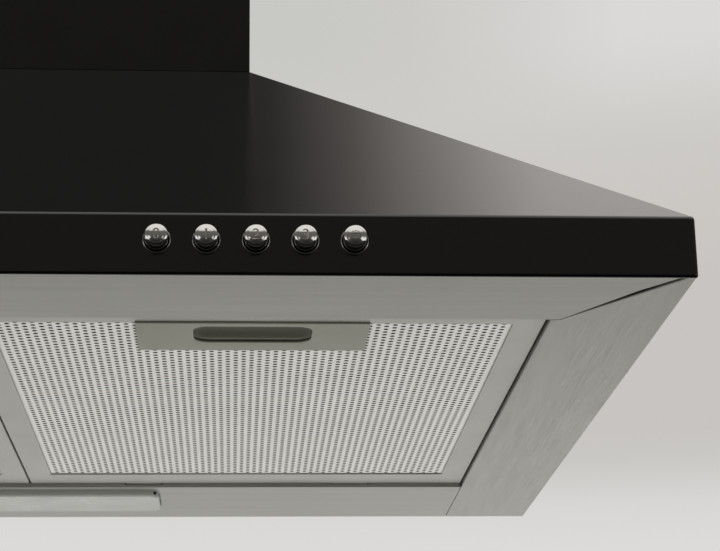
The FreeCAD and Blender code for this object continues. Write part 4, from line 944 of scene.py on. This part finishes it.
class HOOD_OT_blower(bpy.types.Operator):
    """Finishes the blower, its deck, the collar and the flaps"""

    bl_idname = "hood.blower"
    bl_label = "Blower and collar"

    def execute(self, context):
        zinc = galvanised_finish("steel_sheet_galvanised")
        coat(("back_plate", "motor"), zinc)
        coat(("blower_deck", "motor_bracket", "chimney_bracket"), zinc, SHEET_EDGE)
        # the casing is mid grey, the parts that the air turns or passes are dull black
        grey = moulded_finish("polypropylene_moulded_grey", "#6E7071", "#7B7D7E", 0.48)
        coat(("right_scroll_case", "left_scroll_case"), grey, CASE_EDGE)
        black = moulded_finish("polypropylene_moulded_black", "#1C1C1C", "#262626", 0.46)
        coat(("duct_collar", "right_flap", "left_flap", "impeller", "cable_gland"), black)
        coat(("capacitor",), moulded_finish("polyester_moulded_white", "#C9C7BF", "#D6D4CC", 0.4))
        # zinc plate gives the fasteners a cool, slightly glossy grey
        screws = satin_finish("steel_zinc_plated", "#A6A8AA", "#BCBEC0", 0.3, 0.8, 0.003)
        coat(("deck_screws", "chimney_screws", "flap_pin", "motor_shaft"), screws)
        return {"FINISHED"}


class HOOD_OT_mains(bpy.types.Operator):
    """Finishes the mains box and the leads"""

    bl_idname = "hood.mains"
    bl_label = "Mains box and leads"

    def execute(self, context):
        # off-white boxes with the light grey sheaths of their leads
        white = moulded_finish("abs_moulded_white", "#D0CFC9", "#DBDAD5", 0.42)
        coat(("terminal_box", "terminal_cover"), white, BOX_EDGE)
        sheath = moulded_finish("pvc_extruded_grey", "#B9B8B2", "#C5C4BE", 0.38, 1.5, 0.005)
        coat(("wiring_leads",), sheath)
        return {"FINISHED"}


def area_lamp(name, place, target, size, power):
    """A soft rectangular lamp that looks at a point and leaves no mirror image of itself."""
    data = bpy.data.lights.new(name, "AREA")
    data.shape = "RECTANGLE"
    data.size, data.size_y = size
    data.energy = power
    lamp = bpy.data.objects.new(name, data)
    lamp.location = place
    lamp.rotation_mode = "QUATERNION"
    lamp.rotation_quaternion = (Vector(target) - Vector(place)).to_track_quat("-Z", "Y")
    lamp.visible_glossy = False
    lamp.visible_camera = False
    bpy.context.scene.collection.objects.link(lamp)


class HOOD_OT_stage(bpy.types.Operator):
    """Lays the floor and sets the sky, the lamps and the camera"""

    bl_idname = "hood.stage"
    bl_label = "Stage"

    def execute(self, context):
        options = context.scene.hood_stage
        self.lay_floor(options)
        self.set_world(options)
        for lamp in LAMPS:
            area_lamp(*lamp)
        self.set_camera(options)
        context.scene.view_settings.view_transform = "Standard"
        return {"FINISHED"}

    def lay_floor(self, options):
        """A flat square of matt plaster."""
        signs = ((-1, -1), (1, -1), (1, 1), (-1, 1))
        corners = [(x * FLOOR_HALF, y * FLOOR_HALF, options.floor_level) for x, y in signs]
        mesh = bpy.data.meshes.new("floor")
        mesh.from_pydata(corners, [], [(0, 1, 2, 3)])
        material, tree, shader = new_material("floor_plaster_matt", **{"Roughness": 0.9, "IOR": 1.3})
        plaster = tint(tree, noise(tree, (400.0, 400.0, 400.0)), "#D6D5D2", options.floor_colour)
        link(tree, plaster, shader, "Base Color")
        # in mirror images the floor is bright under the wall and darkens towards the front
        place = add_node(tree, "ShaderNodeTexCoord").outputs["Object"]
        depth = add_node(tree, "ShaderNodeSeparateXYZ", links={"Vector": place}).outputs["Y"]
        shade = ramp(tree, depth, *FLOOR_DEPTHS, FLOOR_REFLECTION)
        shine = add_node(tree, "ShaderNodeEmission", links={"Color": shade})
        mirrored = add_node(tree, "ShaderNodeLightPath").outputs["Is Glossy Ray"]
        top = add_node(tree, "ShaderNodeMixShader", links={0: mirrored, 1: shader.outputs["BSDF"],
                                                           2: shine.outputs["Emission"]})
        # the floor is a sheet seen from above only, so that a view from below looks past it
        side = add_node(tree, "ShaderNodeNewGeometry").outputs["Backfacing"]
        clear = add_node(tree, "ShaderNodeBsdfTransparent")
        mixed = add_node(tree, "ShaderNodeMixShader", links={0: side, 1: top.outputs["Shader"],
                                                             2: clear.outputs["BSDF"]})
        output = next(node for node in tree.nodes if node.type == "OUTPUT_MATERIAL")
        tree.links.new(mixed.outputs["Shader"], output.inputs["Surface"])
        mesh.materials.append(material)
        floor = bpy.data.objects.new("floor", mesh)
        bpy.context.scene.collection.objects.link(floor)

    def set_world(self, options):
        """A pale backdrop for the camera, even light, and for mirror images a room with bright panels."""
        world = bpy.data.worlds.new("pale_room")
        world.use_nodes = True
        bpy.context.scene.world = world
        tree = world.node_tree
        tree.nodes.clear()
        place = add_node(tree, "ShaderNodeTexCoord").outputs["Generated"]
        axes = add_node(tree, "ShaderNodeSeparateXYZ", links={"Vector": place}).outputs
        high = smooth_share(tree, axes["Z"], 0.36, 0.42)
        wall = blend(tree, high, ramp(tree, axes["Z"], *BACKDROP_HEIGHTS, BACKDROP),
                     ramp(tree, axes["X"], *BACKDROP_TOP_WIDTH, BACKDROP_TOP))
        rays = add_node(tree, "ShaderNodeLightPath").outputs
        room = blend(tree, rays["Is Glossy Ray"], linear(options.fill), self.mirrored_room(tree, axes))
        shown = blend(tree, rays["Is Camera Ray"], room, wall)
        shade = add_node(tree, "ShaderNodeBackground", values={"Strength": 1.0}, links={"Color": shown})
        add_node(tree, "ShaderNodeOutputWorld", links={"Surface": shade.outputs["Background"]})

    def mirrored_room(self, tree, axes):
        """What polished faces mirror, by direction."""
        front = ramp(tree, axes["Z"], *FRONT_HEIGHTS, FRONT_REFLECTION)
        behind = ramp(tree, axes["X"], *BACK_WIDTH, BACK_REFLECTION)
        room = blend(tree, smooth_share(tree, axes["Y"], 0.25, 0.5), front, behind)
        # two upright panels low in front, one to either side, give the chrome its bright flecks
        width = add_node(tree, "ShaderNodeMath", operation="ABSOLUTE", links={0: axes["X"]}).outputs[0]
        folded = add_node(tree, "ShaderNodeCombineXYZ",
                          links={"X": width, "Y": axes["Y"], "Z": axes["Z"]}).outputs[0]
        nearness = add_node(tree, "ShaderNodeVectorMath", operation="DOT_PRODUCT",
                            links={0: folded}).outputs["Value"]
        nearness.node.inputs[1].default_value = Vector(PANEL_DIRECTION).normalized()
        return blend(tree, smooth_share(tree, nearness, 0.88, 0.93), room, linear("#FFFFFF"))

    def set_camera(self, options):
        """The place and direction from which the hood was photographed."""
        turn, rise, roll = options.camera_turn, options.camera_rise, options.camera_roll
        level = math.cos(rise)
        ahead = Vector((math.sin(turn) * level, math.cos(turn) * level, math.sin(rise)))
        flat = Vector((math.cos(turn), -math.sin(turn), 0.0))
        steep = flat.cross(ahead)
        right = flat * math.cos(roll) + steep * math.sin(roll)
        up = steep * math.cos(roll) - flat * math.sin(roll)
        data = bpy.data.cameras.new("photo_view")
        data.lens = options.lens
        data.sensor_width = 36.0
        camera = bpy.data.objects.new("photo_view", data)
        bpy.context.scene.collection.objects.link(camera)
        facing = Matrix((right, up, -ahead)).transposed().to_4x4()
        camera.matrix_world = Matrix.Translation(options.camera_place) @ facing
        bpy.context.scene.camera = camera


class HOOD_PT_panel(bpy.types.Panel):
    """Lists the hood's pieces and their settings"""

    bl_idname = "HOOD_PT_panel"
    bl_label = "Range hood"
    bl_space_type = "VIEW_3D"
    bl_region_type = "UI"
    bl_category = "Range hood"

    def draw(self, context):
        for operator, group_name in STEPS:
            box = self.layout.box()
            box.operator(operator.bl_idname)
            if group_name:
                group = getattr(context.scene, group_name)
                for name in group.bl_rna.properties.keys():
                    if name not in ("rna_type", "name"):
                        box.prop(group, name)


STEPS = (
    (HOOD_OT_covers, "hood_canopy"),
    (HOOD_OT_trims, "hood_trims"),
    (HOOD_OT_filters, "hood_filters"),
    (HOOD_OT_latches, "hood_latches"),
    (HOOD_OT_buttons, "hood_buttons"),
    (HOOD_OT_lamp, None),
    (HOOD_OT_blower, None),
    (HOOD_OT_mains, None),
    (HOOD_OT_stage, "hood_stage"),
)
GROUPS = {
    "hood_canopy": HoodCanopySettings,
    "hood_trims": HoodTrimSettings,
    "hood_filters": HoodFilterSettings,
    "hood_latches": HoodLatchSettings,
    "hood_buttons": HoodButtonSettings,
    "hood_stage": HoodStageSettings,
}


def register():
    for group in GROUPS.values():
        bpy.utils.register_class(group)
    for operator, _ in STEPS:
        bpy.utils.register_class(operator)
    bpy.utils.register_class(HOOD_PT_panel)
    for name, group in GROUPS.items():
        setattr(bpy.types.Scene, name, PointerProperty(type=group))


def unregister():
    for name in GROUPS:
        delattr(bpy.types.Scene, name)
    bpy.utils.unregister_class(HOOD_PT_panel)
    for operator, _ in reversed(STEPS):
        bpy.utils.unregister_class(operator)
    for group in GROUPS.values():
        bpy.utils.unregister_class(group)


def main():
    register()
    for operator, _ in STEPS:
        space, name = operator.bl_idname.split(".")
        getattr(getattr(bpy.ops, space), name)()


if __name__ == "__main__":
    main()
